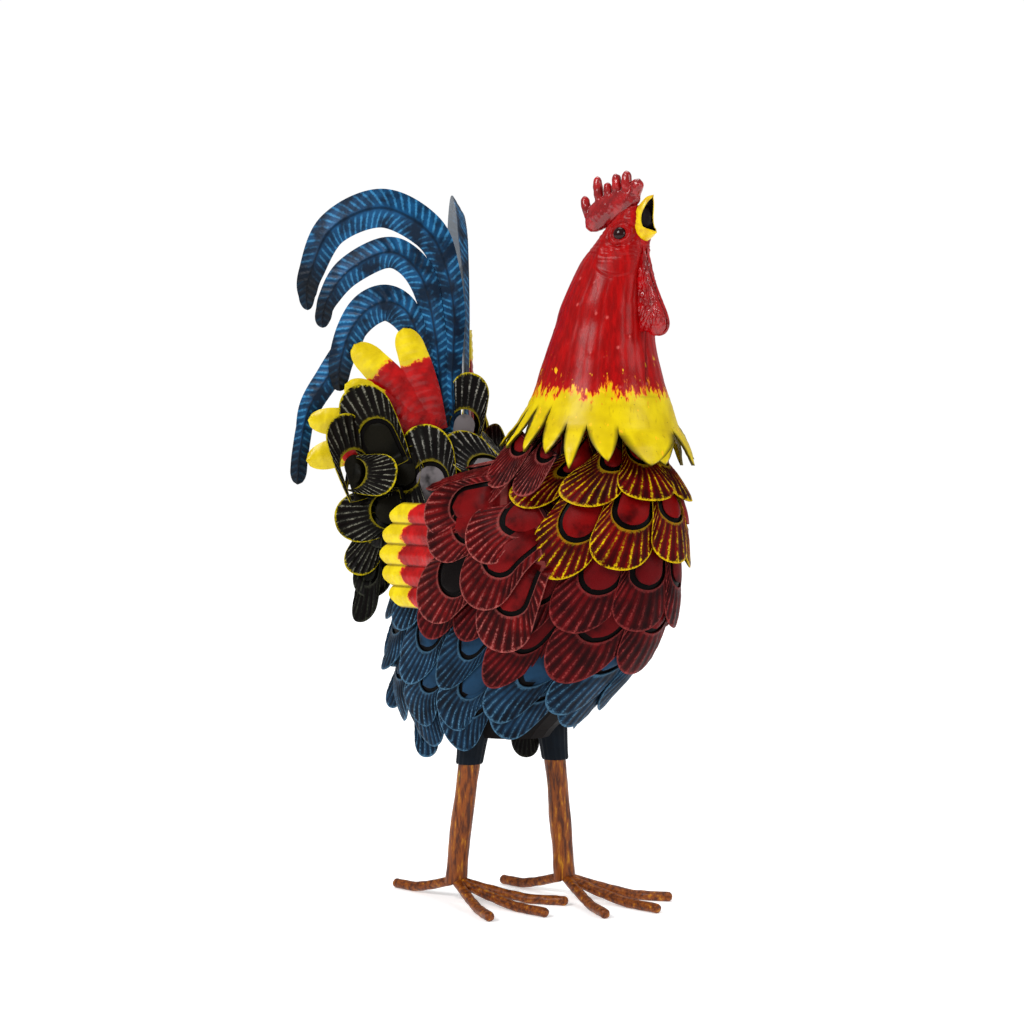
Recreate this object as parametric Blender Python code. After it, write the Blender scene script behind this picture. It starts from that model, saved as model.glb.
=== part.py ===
"""Standing metal rooster: a painted sheet-metal statue with its head raised and its beak open.

It faces +X and its own left is +Y. It stands on its toes at Z = 0.
All sizes below are in millimetres; the meshes are made in metres.
The body is covered by rows of feather plates. Each row is one fused plate with a scalloped edge.
"""
import math

import bmesh
import bpy
import numpy as np
from mathutils import Vector

MM = 0.001

# Sheet and clearances
SHEET = 1.2             # thickness of a feather plate
GAP = 0.3               # clearance between neighbouring pieces
FRAME_SHIFT = -4.4      # puts the origin under the middle of the whole statue

# Body: height, rearmost X, foremost X, half width of the outer surface of the feathers
BODY_SECTIONS = (
    (104.0, -66.0, 34.0, 40.0),
    (124.0, -88.0, 48.0, 48.0),
    (146.0, -112.0, 74.0, 57.0),
    (178.0, -113.0, 117.0, 65.0),
    (207.0, -111.0, 139.0, 69.0),
    (235.0, -104.0, 149.0, 70.0),
    (262.0, -96.0, 153.0, 70.0),
    (285.0, -88.0, 155.0, 68.0),
    (300.0, -76.0, 152.0, 64.0),
    (313.0, -42.0, 146.0, 59.0),
    (325.0, 2.0, 138.0, 52.0),
    (337.0, 22.0, 132.0, 46.0),
    (362.0, 36.0, 128.0, 40.0),
)
SHOULDER = BODY_SECTIONS[8][0]    # above this height the body narrows to the neck

# Body shell, inside the feathers
SHELL_CLEARANCE = 3.8   # from the roots of the feathers to the shell
SHELL_TAPER = 0.28      # further in towards the neck, per millimetre above the shoulder
SHELL_BOTTOM = 120.0
SHELL_SIDES = 20
SHELL_LEVELS = (127.0, 142.0, 165.0, 200.0, 240.0, 275.0, 300.0, 313.0, 325.0, 340.0)

# Stub on the rump that carries the tail
STUB_X = -55.0
STUB_TOP = 338.0
STUB_BASE = BODY_SECTIONS[7][0]    # inside the shell, below the shoulder
STUB_LENGTH = 15.0      # half its length and half its width
STUB_WIDTH = 21.0
STUB_BEVEL = 6.0        # height of its sloping upper edge
STUB_TOP_SHARE = 0.8    # its top is this share of its length and width
STUB_SIDES = 12

# Coat rows: tip height at front, side and rear, plate length
COAT_ROWS = (
    (293.0, 286.0, 317.0, 78.0),
    (250.0, 236.0, 236.0, 80.0),
    (208.0, 194.0, 200.0, 80.0),
    (175.0, 158.0, 166.0, 78.0),
    (146.0, 127.0, 136.0, 70.0),
    (124.0, 106.0, 110.0, 62.0),
)
COAT_FEATHERS = (14, 15, 15, 14, 12, 10)    # feathers in the ring of each row
COAT_COLOURS = ("yellow_red", "yellow_red", "red", "red", "blue", "blue")
ROOT_INSET = 10.0       # how far the root of a feather lies inside its tip
ROOT_CEILING = 340.0    # no root is higher than this
REAR_CEILING = 286.0    # nor higher than this behind, below the tail stub
REAR_SHORTER = 0.3      # feathers behind are shorter by this share
COAT_SWEEP = 0.045      # share of the ring by which tips at the side trail backward
NOTCH_DEPTH = 30.0      # depth of the notch between two feather tips
FEATHER_CROWN = 1.2     # how far the middle of a feather stands out

# Neck and head: height, centre X, half length, half width, rise toward the front
NECK_SECTIONS = (
    (312.0, 78.0, 68.0, 63.5, 0.0),
    (331.0, 80.0, 64.5, 60.0, 0.0),
    (346.0, 82.0, 57.0, 52.5, 0.0),
    (362.0, 83.8, 50.5, 46.5, 0.0),
    (380.0, 84.4, 44.5, 41.0, 0.0),
    (397.0, 85.4, 39.5, 36.5, 0.0),
    (415.0, 87.0, 35.0, 31.5, 0.0),
    (432.0, 89.6, 31.0, 27.5, 0.0),
    (446.0, 92.6, 28.5, 23.0, 0.02),
    (459.0, 97.2, 26.5, 19.0, 0.06),
    (470.0, 102.6, 22.5, 16.0, 0.14),
    (478.0, 104.4, 17.5, 13.5, 0.24),
    (483.5, 104.2, 12.5, 9.5, 0.32),
)
NECK_LEVELS = (380.0, 397.0, 415.0, 432.0, 446.0, 459.0, 470.0, 478.0, 483.5)
CROWN_HEIGHT = 486.0    # top of the head at its middle
NECK_POINTS = 22        # leaf points of the hem
NECK_BASE = 360.0       # the solid neck ends here, just above the body shell
NECK_SEAM = 4.0         # its outer skin meets the hem this far above its base
NECK_LUMP = 0.7         # hammered lumps on the neck
NECK_LUMP_TOP = 450.0   # none of them above this height
HEM_NOTCH = (338.0, 357.0)  # height of the notches of the hem, in front and behind
HEM_TIP = (317.0, 330.0)    # height of its tips, in front and behind
HEM_THICKNESS = 2.2
HEM_FLARE = 3.5         # how far the tips stand out

# Legs: foot and top of each tube, on the right side (-Y) and the left side (+Y)
LEG_RADIUS = 7.8
LEG_BOTTOM = 9.0
LEG_SIDES = 10
RIGHT_LEG = ((-26.0, -32.0), (-21.5, -31.5), (-16.0, -30.0), (-10.5, -28.5))
LEFT_LEG = ((23.0, 32.0), (19.5, 31.5), (16.5, 30.0), (12.5, 28.5))

# Toes: length, heading from straight ahead in degrees
TOE_RADIUS = 3.5
TOE_ROOT_HEIGHT = 13.5
TOE_SPREAD = 28.0
TOE_LENGTHS = (("outer", 80.0), ("middle", 90.0), ("inner", 84.0))
HIND_TOE_LENGTH = 64.0
TOE_FLAT = 0.32         # share of the toe that lies flat on the ground
TOE_SIDES = 8
TOE_CLEARANCE = 1.3     # from the swelling foot of the leg

# Tail
TAIL_ROOT = (-49.4, 2.5)
TAIL_SPLAY = 41.0       # each side of the tail turns out by this angle
SICKLE_RIDGE = 2.6
SICKLE_SKIN = 0.7
SICKLE_STEP = 0.9       # neighbouring blades lie this far over each other
SICKLE_STATIONS = 16
# Each blade: name, layer, then distance from the root, height and half width along its middle
SICKLES = (
    ("1", 0, ((4.0, 339.0, 3.4), (6.0, 377.0, 4.6), (4.5, 425.0, 6.4), (11.0, 461.0, 9.8),
              (25.0, 487.0, 13.2), (58.0, 503.0, 14.2), (94.0, 488.0, 12.3), (110.0, 456.0, 9.2),
              (113.0, 440.0, 6.8), (112.5, 428.5, 1.6))),
    ("2", 1, ((11.2, 339.0, 2.8), (14.6, 377.0, 3.8), (18.6, 412.0, 6.8), (26.5, 448.0, 10.4),
              (40.0, 466.0, 11.2), (57.0, 470.0, 11.4), (83.0, 456.0, 10.6), (97.0, 437.0, 7.6),
              (101.0, 424.0, 5.0), (101.5, 415.5, 1.2))),
    ("3", 2, ((17.4, 339.0, 2.4), (21.6, 377.0, 3.0), (29.5, 406.0, 6.0), (39.5, 427.5, 9.6),
              (54.0, 434.0, 13.0), (69.0, 428.0, 13.0), (81.0, 412.0, 10.7), (88.0, 390.0, 9.0),
              (89.0, 377.0, 6.5), (88.5, 369.0, 1.4))),
    ("4", -4, ((27.0, 352.0, 2.6), (28.0, 385.0, 4.4), (37.0, 414.0, 6.0), (54.0, 428.0, 7.0),
               (72.0, 422.0, 8.0), (84.0, 402.0, 9.0), (97.0, 381.0, 9.3), (112.0, 356.0, 8.0),
               (118.5, 326.0, 3.8), (121.0, 300.0, 0.4))),
)

# Red side-tail feathers: heading above straight back in degrees, reach, half width
TAIL_FAN_CENTRE = (11.0, 345.0)
TAIL_FAN_LAYER = 5.9
TAIL_FAN_ROOT = 8.0
TAIL_FAN = ((67.0, 76.0, 11.5), (45.0, 87.0, 10.5), (26.0, 78.0, 8.0), (5.0, 99.0, 8.5), (-12.0, 104.0, 9.5))
TAIL_FAN_NOTCHES = (42.0, 53.0, 50.0, 48.0, 54.0, 58.0)

# Black feathers beside the root of the tail: heading above straight back, reach, half width
RUMP_SPLAY = 26.0
RUMP_BACK_CENTRE = (-46.0, 42.5, 304.0)
RUMP_BACK = ((57.0, 88.0, 17.0), (32.0, 89.0, 14.0), (8.0, 72.0, 14.0), (-18.0, 80.0, 15.0),
             (-41.0, 86.0, 13.5), (-63.0, 116.0, 14.5))
RUMP_ROOT = 12.0
RUMP_CUP = 0.05         # how far a feather leans outward along its length
RUMP_LEAN = 0.11        # how far the fan leans inward with its height

# Black feathers standing round the front of the tail's root
COLLAR_AXIS = -57.0
COLLAR_SEAMS = (-122.0, -42.0, 42.0, 122.0)
COLLAR_ROOT = (23.5, 44.5)      # reach of the root ahead and to the side
COLLAR_TIP = (19.5, 33.0)       # reach of the tips ahead and to the side
COLLAR_ROOT_HEIGHT = (321.0, 291.0)     # in front and at the side
COLLAR_TIP_HEIGHT = (336.0, 344.0)

# Wing feathers on the side of the body: heading below straight back, reach, half width
WING_SHOULDER = (96.0, 303.0)
WING_ROOT = 26.0
WING_UPPER = ((8.0, 116.0, 17.0), (31.0, 90.0, 18.0), (55.0, 99.0, 18.5))
WING_LOWER = ((20.0, 126.0, 17.0), (39.0, 143.0, 20.0), (69.0, 121.0, 19.5))
WING_NOTCH = 32.0       # depth of the notch between two of them
WING_LAYERS = (3.6, 7.4)    # how far the lower and upper plate lie outside the coat at their roots
WING_SLOPE = 0.022
WING_TIP_FLUTES = 5
WING_TIP_HEIGHTS = (288.0, 214.0)
WING_TIP_FRONT = 12.0
WING_TIP_REAR = -66.0
WING_TIP_SWEEP = 14.0   # the outer flutes end this far ahead of the middle one
WING_TIP_LAYER = 1.9
WING_TIP_RIDGE = 1.5

# Comb: X, Z and radius of each lobe tip, then the lower edge from front to rear
COMB_LOBES = ((69.2, 500.5, 3.6), (81.2, 513.8, 3.6), (90.6, 510.0, 3.0),
              (98.6, 515.2, 3.3), (107.8, 516.4, 3.5), (117.4, 509.8, 4.2))
COMB_VALLEYS = ((74.6, 496.5), (86.2, 505.5), (94.6, 505.0), (103.0, 507.0), (112.6, 504.5))
COMB_BASE = ((122.6, 499.0), (118.0, 494.5), (108.0, 491.2), (97.0, 487.4), (88.0, 482.2),
             (81.0, 477.4), (72.5, 480.5), (66.3, 489.5))
COMB_HALF_THICKNESS = 4.0
COMB_EDGE = 2.0

# Beak: ridge at its root, corner of the mouth, tip
BEAK_UPPER = ((119.5, 0.0, 492.6), (121.5, 7.0, 486.0), (131.8, 0.0, 501.8))
BEAK_LOWER = ((125.6, 0.0, 472.5), (121.5, 7.0, 484.6), (135.2, 0.0, 475.6))
BEAK_SHEET = 1.5
BEAK_BULGE = 2.2

# Eyes and wattles
EYE_PLACE = (112.6, 475.4)
EYE_RADIUS = 4.6
EYE_HEIGHT = 2.6
EYE_CLEARANCE = 0.5
# The front edge of a wattle, X and Z from its top; its rear edge follows the neck
WATTLE_FRONT = ((128.0, 456.5), (131.0, 450.0), (133.5, 442.0), (138.5, 431.0), (144.0, 420.0),
                (145.5, 413.0), (142.0, 407.5), (134.5, 406.0), (127.5, 409.0))
WATTLE_Y = 3.4
WATTLE_HALF_THICKNESS = 3.0
WATTLE_GAP = 1.2
WATTLE_RISE = 2.0       # its rear edge lies this far above the front edge's points


# Shared curves

def smooth_row(table, height):
    """Returns the columns of a table at one height, along a smooth curve through its rows."""
    rows = np.asarray(table, float)
    knots = rows[:, 0]
    height = min(max(height, knots[0]), knots[-1])
    index = int(min(max(np.searchsorted(knots, height) - 1, 0), len(knots) - 2))
    slopes = np.gradient(rows[:, 1:], knots, axis=0)
    step = knots[index + 1] - knots[index]
    t = (height - knots[index]) / step
    low, high = rows[index, 1:], rows[index + 1, 1:]
    return (low * (2 * t**3 - 3 * t**2 + 1) + high * (3 * t**2 - 2 * t**3)
            + slopes[index] * step * (t**3 - 2 * t**2 + t) + slopes[index + 1] * step * (t**3 - t**2))


def spline(points, count):
    """Returns evenly numbered points on a smooth curve through the given points."""
    points = np.asarray(points, float)
    padded = np.vstack([2 * points[0] - points[1], points, 2 * points[-1] - points[-2]])
    result = []
    for place in np.linspace(0.0, len(points) - 1.0, count):
        index = min(int(place), len(points) - 2)
        t = place - index
        a, b, c, d = padded[index:index + 4]
        result.append(0.5 * (2 * b + (c - a) * t + (2 * a - 5 * b + 4 * c - d) * t**2
                             + (3 * b - a - 3 * c + d) * t**3))
    return np.array(result)


def body_point(share, height, out):
    """Returns a point on the body; share runs once round it from the front toward its left."""
    def on_surface(level):
        rear, front, half_width = smooth_row(BODY_SECTIONS, level)
        half_length = (front - rear) / 2
        turn = 2 * math.pi * share
        turn += (half_length - half_width) / (2 * (half_length + half_width)) * math.sin(2 * turn)
        centre = (front + rear) / 2
        place = np.array([centre + half_length * math.cos(turn), half_width * math.sin(turn), level])
        along = np.array([-half_length * math.sin(turn), half_width * math.cos(turn), 0.0])
        return place, along
    place, along = on_surface(height)
    upward = on_surface(height + 1.0)[0] - on_surface(height - 1.0)[0]
    normal = np.cross(along, upward)
    return place + normal / np.linalg.norm(normal) * out


def neck_point(share, height, out):
    """Returns a point on the neck; share runs once round it from the front toward its left."""
    centre, half_length, half_width, rise = smooth_row(NECK_SECTIONS, height)
    turn = 2 * math.pi * share
    reach = (half_length + out) * math.cos(turn)
    return np.array([centre + reach, (half_width + out) * math.sin(turn), height + rise * reach])


# Meshes

def make_object(name, vertices, faces, material):
    mesh = bpy.data.meshes.new(name)
    mesh.from_pydata([Vector(tuple(float(v) * MM for v in p)) for p in vertices], [], faces)
    work = bmesh.new()
    work.from_mesh(mesh)
    bmesh.ops.recalc_face_normals(work, faces=work.faces)
    bmesh.ops.triangulate(work, faces=work.faces)
    work.to_mesh(mesh)
    work.free()
    mesh.update()
    piece = bpy.data.objects.new(name, mesh)
    bpy.context.collection.objects.link(piece)
    piece.data.materials.append(material)
    piece.parent = FRAME
    return piece


def loft(name, rings, material):
    """Joins rings of equal size, and closes both ends with a flat face."""
    size = len(rings[0])
    vertices = [point for ring in rings for point in ring]
    faces = []
    for level in range(len(rings) - 1):
        for i in range(size):
            j = (i + 1) % size
            low, high = level * size, (level + 1) * size
            faces.append((low + i, low + j, high + j, high + i))
    faces.append(tuple(range(size)))
    faces.append(tuple(range((len(rings) - 1) * size, len(rings) * size)))
    return make_object(name, vertices, faces, material)


LOBE_ANGLES = (152.0, 120.0, 90.0, 60.0, 28.0)


def scalloped_plate(name, lobes, closed, edge, spine, outline, material):
    """One thin plate whose free edge is a row of rounded lobes.

    edge(k, stage, h) is the seam beside lobe k at its root, middle and notch,
    spine(i, stage, h) is the middle line of lobe i, and outline(i, u, q, h) its free edge.
    """
    seams = lobes if closed else lobes + 1
    vertices = []
    index = {}

    def keep(key, point):
        index[key] = len(vertices)
        vertices.append(point)

    for side, h in enumerate((0.0, SHEET)):
        for k in range(seams):
            for stage in range(3):
                keep((side, "edge", k, stage), edge(k, stage, h))
        for i in range(lobes):
            for stage in range(3):
                keep((side, "spine", i, stage), spine(i, stage, h))
            for n, angle in enumerate(LOBE_ANGLES):
                turn = math.radians(angle)
                keep((side, "rim", i, n), outline(i, math.cos(turn), math.sin(turn), h))
    faces = []
    for i in range(lobes):
        k = (i + 1) % seams
        rim = [("edge", i, 2)] + [("rim", i, n) for n in range(len(LOBE_ANGLES))] + [("edge", k, 2)]
        for side in (0, 1):
            def at(kind, number, stage):
                return index[(side, kind, number, stage)]
            for stage in (0, 1):
                faces.append((at("edge", i, stage), at("spine", i, stage),
                              at("spine", i, stage + 1), at("edge", i, stage + 1)))
                faces.append((at("spine", i, stage), at("edge", k, stage),
                              at("edge", k, stage + 1), at("spine", i, stage + 1)))
            for a, b in zip(rim, rim[1:]):
                faces.append((at("spine", i, 2), at(*b), at(*a)))
        top = [("edge", i, 0), ("spine", i, 0), ("edge", k, 0)]
        for line in (rim, top):
            for a, b in zip(line, line[1:]):
                faces.append((index[(0, *a)], index[(0, *b)], index[(1, *b)], index[(1, *a)]))
    if not closed:
        for k in (0, lobes):
            for stage in (0, 1):
                faces.append((index[(0, "edge", k, stage)], index[(0, "edge", k, stage + 1)],
                              index[(1, "edge", k, stage + 1)], index[(1, "edge", k, stage)]))
    return make_object(name, vertices, faces, material)


def pillow(name, outline, y, half_thickness, edge, material):
    """A plate standing in the plane of symmetry, with rounded edges."""
    flat = np.asarray(outline, float)
    ahead = np.roll(flat, -1, axis=0) - np.roll(flat, 1, axis=0)
    inward = np.stack([-ahead[:, 1], ahead[:, 0]], 1)
    inward /= np.linalg.norm(inward, axis=1)[:, None]
    area = float(np.sum(flat[:, 0] * np.roll(flat[:, 1], -1) - np.roll(flat[:, 0], -1) * flat[:, 1]))
    inner = flat + inward * edge * (1.0 if area > 0 else -1.0)
    rings = [[(x, y + half_thickness, z) for x, z in inner],
             [(x, y, z) for x, z in flat],
             [(x, y - half_thickness, z) for x, z in inner]]
    return loft(name, rings, material)


# Pieces

def make_shell():
    levels = [SHELL_BOTTOM] + list(SHELL_LEVELS) + [NECK_BASE - GAP]
    rings = []
    for level in levels:
        rear, front, half_width = smooth_row(BODY_SECTIONS, level)
        inset = ROOT_INSET + SHEET + SHELL_CLEARANCE + SHELL_TAPER * max(0.0, level - SHOULDER)
        half_length = (front - rear) / 2 - inset
        half_width -= inset
        centre = (front + rear) / 2
        ring = []
        for i in range(SHELL_SIDES):
            turn = 2 * math.pi * i / SHELL_SIDES
            ring.append((centre + half_length * math.cos(turn), half_width * math.sin(turn), level))
        rings.append(ring)
    shell = loft("body_shell", rings, material("body_black", (0.02, 0.02, 0.022), 0.55, 0.3))
    join = shell.modifiers.new("stub", "BOOLEAN")
    join.operation = "UNION"
    join.object = make_stub(shell.data.materials[0])
    join.solver = "EXACT"


def make_stub(black):
    rings = []
    for level, grow in ((STUB_BASE, 1.0), (STUB_TOP - STUB_BEVEL, 1.0), (STUB_TOP, STUB_TOP_SHARE)):
        ring = []
        for i in range(STUB_SIDES):
            turn = 2 * math.pi * i / STUB_SIDES
            ring.append((STUB_X + STUB_LENGTH * grow * math.cos(turn),
                         STUB_WIDTH * grow * math.sin(turn), level))
        rings.append(ring)
    stub = loft("tail_stub", rings, black)
    stub.hide_render = True
    stub.display_type = "WIRE"
    return stub


def make_coat():
    colours = {"yellow_red": (0.20, 0.02, 0.02), "red": (0.17, 0.015, 0.018), "blue": (0.03, 0.12, 0.22)}
    for row, (count, word) in enumerate(zip(COAT_FEATHERS, COAT_COLOURS)):
        make_coat_row(row, count, material(f"coat_{word}", colours[word], 0.45, 0.35))


def make_coat_row(row, count, paint):
    """One ring of feathers; every other row is turned by half a feather."""
    front_tip, side_tip, rear_tip, length = COAT_ROWS[row]
    phase = 0.0 if row % 2 else 0.5
    notch = 1.0 - NOTCH_DEPTH / length
    stages = (0.0, 0.5 * notch, notch)

    def place(g, reach, h):
        share = (g - 0.5 + phase) / count
        facing = math.cos(2 * math.pi * share)
        ahead, behind = max(facing, 0.0), max(-facing, 0.0)
        tip = side_tip + (front_tip - side_tip) * ahead**2 + (rear_tip - side_tip) * behind**3
        ceiling = ROOT_CEILING
        if rear_tip <= REAR_CEILING:
            ceiling += (REAR_CEILING - ROOT_CEILING) * behind**0.5
        root = min(tip + length * (1.0 - REAR_SHORTER * behind), ceiling)
        share -= COAT_SWEEP * (1.0 - reach) * math.sin(2 * math.pi * share)
        return body_point(share, root + (tip - root) * reach, h - SHEET - ROOT_INSET * (1.0 - reach))

    def edge(k, stage, h):
        return place(k, stages[stage], h)

    def spine(i, stage, h):
        reach = (stages[0], stages[1], notch + 0.25 * (1.0 - notch))[stage]
        return place(i + 0.5, reach, h + (0.0, 0.6, 1.0)[stage] * FEATHER_CROWN)

    def outline(i, u, q, h):
        return place(i + 0.5 + 0.5 * u, notch + (1.0 - notch) * q, h)
    scalloped_plate(f"coat_row_{row + 1}", count, True, edge, spine, outline, paint)


def fan(name, lobes, notches, root, place, material_):
    """A fan of feathers spreading from one point; place(ahead, aside, h) gives a point of it.

    Each lobe is a heading in radians, a reach and a half width.
    """
    headings = [lobe[0] for lobe in lobes]
    between = [(a + b) / 2 for a, b in zip(headings, headings[1:])]
    turns = ([lobes[0][0] + (lobes[0][0] - between[0])] + between
             + [lobes[-1][0] + (lobes[-1][0] - between[-1])])

    def edge(k, stage, h):
        reach = (root, 0.5 * (root + notches[k]), notches[k])[stage]
        return place(reach * math.cos(turns[k]), reach * math.sin(turns[k]), reach, h)

    def spine(i, stage, h):
        heading, length, width = lobes[i]
        notch = min(notches[i], notches[i + 1])
        reach = (root, 0.5 * (root + notch), notch + 0.3 * (length - notch))[stage]
        crown = (0.0, 0.5, 1.0)[stage] * FEATHER_CROWN
        return place(reach * math.cos(heading), reach * math.sin(heading), reach, h + crown)

    def outline(i, u, q, h):
        heading, length, width = lobes[i]
        notch = notches[i] if u < 0 else notches[i + 1]
        reach = notch + (length - notch) * q ** 0.9
        aside = width * u * (1.0 if turns[-1] > turns[0] else -1.0)
        return place(reach * math.cos(heading) - aside * math.sin(heading),
                     reach * math.sin(heading) + aside * math.cos(heading), reach, h)
    return scalloped_plate(name, len(lobes), False, edge, spine, outline, material_)


def sloped_plane(side, splay, origin, layer, cup, lean=0.0):
    """Returns a placing function for the upright plane that runs back from origin, turned out by splay."""
    turn = math.radians(splay)
    back = np.array([-math.cos(turn), side * math.sin(turn), 0.0])
    outward = np.array([math.sin(turn), side * math.cos(turn), 0.0])
    base = np.array([origin[0], side * origin[1], origin[2]])

    def place(ahead, up, reach, h):
        out = layer + h + cup * reach - lean * up
        return base + back * ahead + np.array([0.0, 0.0, up]) + outward * out
    return place


def make_tail(side, word):
    blue = material("sickle_blue", (0.02, 0.09, 0.17), 0.4, 0.4)
    for number, layer, path in SICKLES:
        plane = sloped_plane(side, TAIL_SPLAY, (TAIL_ROOT[0], TAIL_ROOT[1], 0.0), layer * SICKLE_STEP, 0.0)
        line = spline(path, SICKLE_STATIONS)
        rings = []
        for i, (distance, height, width) in enumerate(line):
            ahead = (line[min(i + 1, len(line) - 1)] - line[max(i - 1, 0)])[:2]
            ahead /= np.linalg.norm(ahead)
            across = np.array([-ahead[1], ahead[0]])
            width = max(width, 0.3)
            ridge = SICKLE_RIDGE * min(1.0, width / 9.0 + 0.15)
            left = np.array([distance, height]) + across * width
            right = np.array([distance, height]) - across * width
            rings.append([plane(left[0], left[1], 0.0, 0.0),
                          plane(distance, height, 0.0, ridge + SICKLE_SKIN),
                          plane(right[0], right[1], 0.0, 0.0),
                          plane(distance, height, 0.0, ridge - SICKLE_SKIN)])
        loft(f"sickle_{number}_{word}", rings, blue)
    origin = (TAIL_ROOT[0], TAIL_ROOT[1], TAIL_FAN_CENTRE[1])
    place = sloped_plane(side, TAIL_SPLAY, origin, TAIL_FAN_LAYER, 0.0)
    lobes = [(math.radians(a), reach, width) for a, reach, width in TAIL_FAN]

    def fan_place(ahead, up, reach, h):
        return place(ahead + TAIL_FAN_CENTRE[0], up, reach, h)
    fan(f"tail_fan_{word}", lobes, TAIL_FAN_NOTCHES, TAIL_FAN_ROOT, fan_place,
        material("tail_fan_red", (0.35, 0.02, 0.02), 0.4, 0.3))


def make_rump(side, word):
    black = material("rump_black", (0.03, 0.03, 0.025), 0.5, 0.35)
    lobes = [(math.radians(a), reach, width) for a, reach, width in RUMP_BACK]
    inner = [0.55 * min(a[1], b[1]) for a, b in zip(lobes, lobes[1:])]
    notches = [0.55 * lobes[0][1]] + inner + [0.6 * lobes[-1][1]]
    fan(f"rump_fan_{word}", lobes, notches, RUMP_ROOT,
        sloped_plane(side, RUMP_SPLAY, RUMP_BACK_CENTRE, 0.0, RUMP_CUP, RUMP_LEAN), black)


def make_collar():
    black = material("rump_black", (0.03, 0.03, 0.025), 0.5, 0.35)

    def at(g, reach, h):
        low = min(int(g), len(COLLAR_SEAMS) - 2)
        turn = math.radians(COLLAR_SEAMS[low] + (COLLAR_SEAMS[low + 1] - COLLAR_SEAMS[low]) * (g - low))
        facing = abs(math.cos(turn))
        ring = [a + (b - a) * reach for a, b in zip(COLLAR_ROOT, COLLAR_TIP)]
        low_z = COLLAR_ROOT_HEIGHT[1] + (COLLAR_ROOT_HEIGHT[0] - COLLAR_ROOT_HEIGHT[1]) * facing
        high_z = COLLAR_TIP_HEIGHT[1] + (COLLAR_TIP_HEIGHT[0] - COLLAR_TIP_HEIGHT[1]) * facing
        return np.array([COLLAR_AXIS + (ring[0] + h) * math.cos(turn), (ring[1] + h) * math.sin(turn),
                         low_z + (high_z - low_z) * reach])

    def edge(k, stage, h):
        return at(k, (0.0, 0.3, 0.55)[stage], h)

    def spine(i, stage, h):
        return at(i + 0.5, (0.0, 0.3, 0.65)[stage], h + (0.0, 0.6, 1.0)[stage])

    def outline(i, u, q, h):
        return at(i + 0.5 + 0.5 * u, 0.55 + 0.45 * q, h)
    scalloped_plate("rump_collar", len(COLLAR_SEAMS) - 1, False, edge, spine, outline, black)


def side_point(side, x, z, out):
    """Returns a point beside the body, where the wing lies."""
    rear, front, half_width = smooth_row(BODY_SECTIONS, z)
    along = (x - (rear + front) / 2) / ((front - rear) / 2)
    flattest = 0.85 if along < 0.0 else 0.3
    y = half_width * math.sqrt(max(1.0 - along**2, flattest))
    return np.array([x, side * (y + out), z])


def make_wing(side, word):
    red = material("wing_red", (0.22, 0.02, 0.022), 0.45, 0.35)
    for name, feathers, layer in zip(("wing_lower", "wing_upper"), (WING_LOWER, WING_UPPER), WING_LAYERS):
        lobes = [(math.radians(a), reach, width) for a, reach, width in feathers]
        inner = [min(a[1], b[1]) - WING_NOTCH for a, b in zip(lobes, lobes[1:])]
        notches = [lobes[0][1] - WING_NOTCH] + inner + [lobes[-1][1] - WING_NOTCH]

        def place(ahead, down, reach, h, layer=layer):
            out = layer + WING_SLOPE * reach + h
            return side_point(side, WING_SHOULDER[0] - ahead, WING_SHOULDER[1] - down, out)
        fan(f"{name}_{word}", lobes, notches, WING_ROOT, place, red)
    flute = (WING_TIP_HEIGHTS[0] - WING_TIP_HEIGHTS[1]) / WING_TIP_FLUTES

    def at(g, reach, h):
        swing = math.sin(math.pi * g / WING_TIP_FLUTES)
        rear = WING_TIP_REAR + WING_TIP_SWEEP * (1.0 - swing)
        x = WING_TIP_FRONT + (rear - WING_TIP_FRONT) * reach
        return side_point(side, x, WING_TIP_HEIGHTS[0] - flute * g, WING_TIP_LAYER + h)

    def edge(k, stage, h):
        return at(k, (0.0, 0.45, 0.88)[stage], h)

    def spine_at(i, stage, h):
        return at(i + 0.5, (0.0, 0.45, 0.9)[stage], h + WING_TIP_RIDGE)

    def outline(i, u, q, h):
        return at(i + 0.5 + 0.5 * u, 0.88 + 0.12 * q, h + WING_TIP_RIDGE * q)
    scalloped_plate(f"wing_tip_{word}", WING_TIP_FLUTES, False, edge, spine_at, outline,
                    material("wing_tip_red", (0.4, 0.03, 0.03), 0.4, 0.3))


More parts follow.
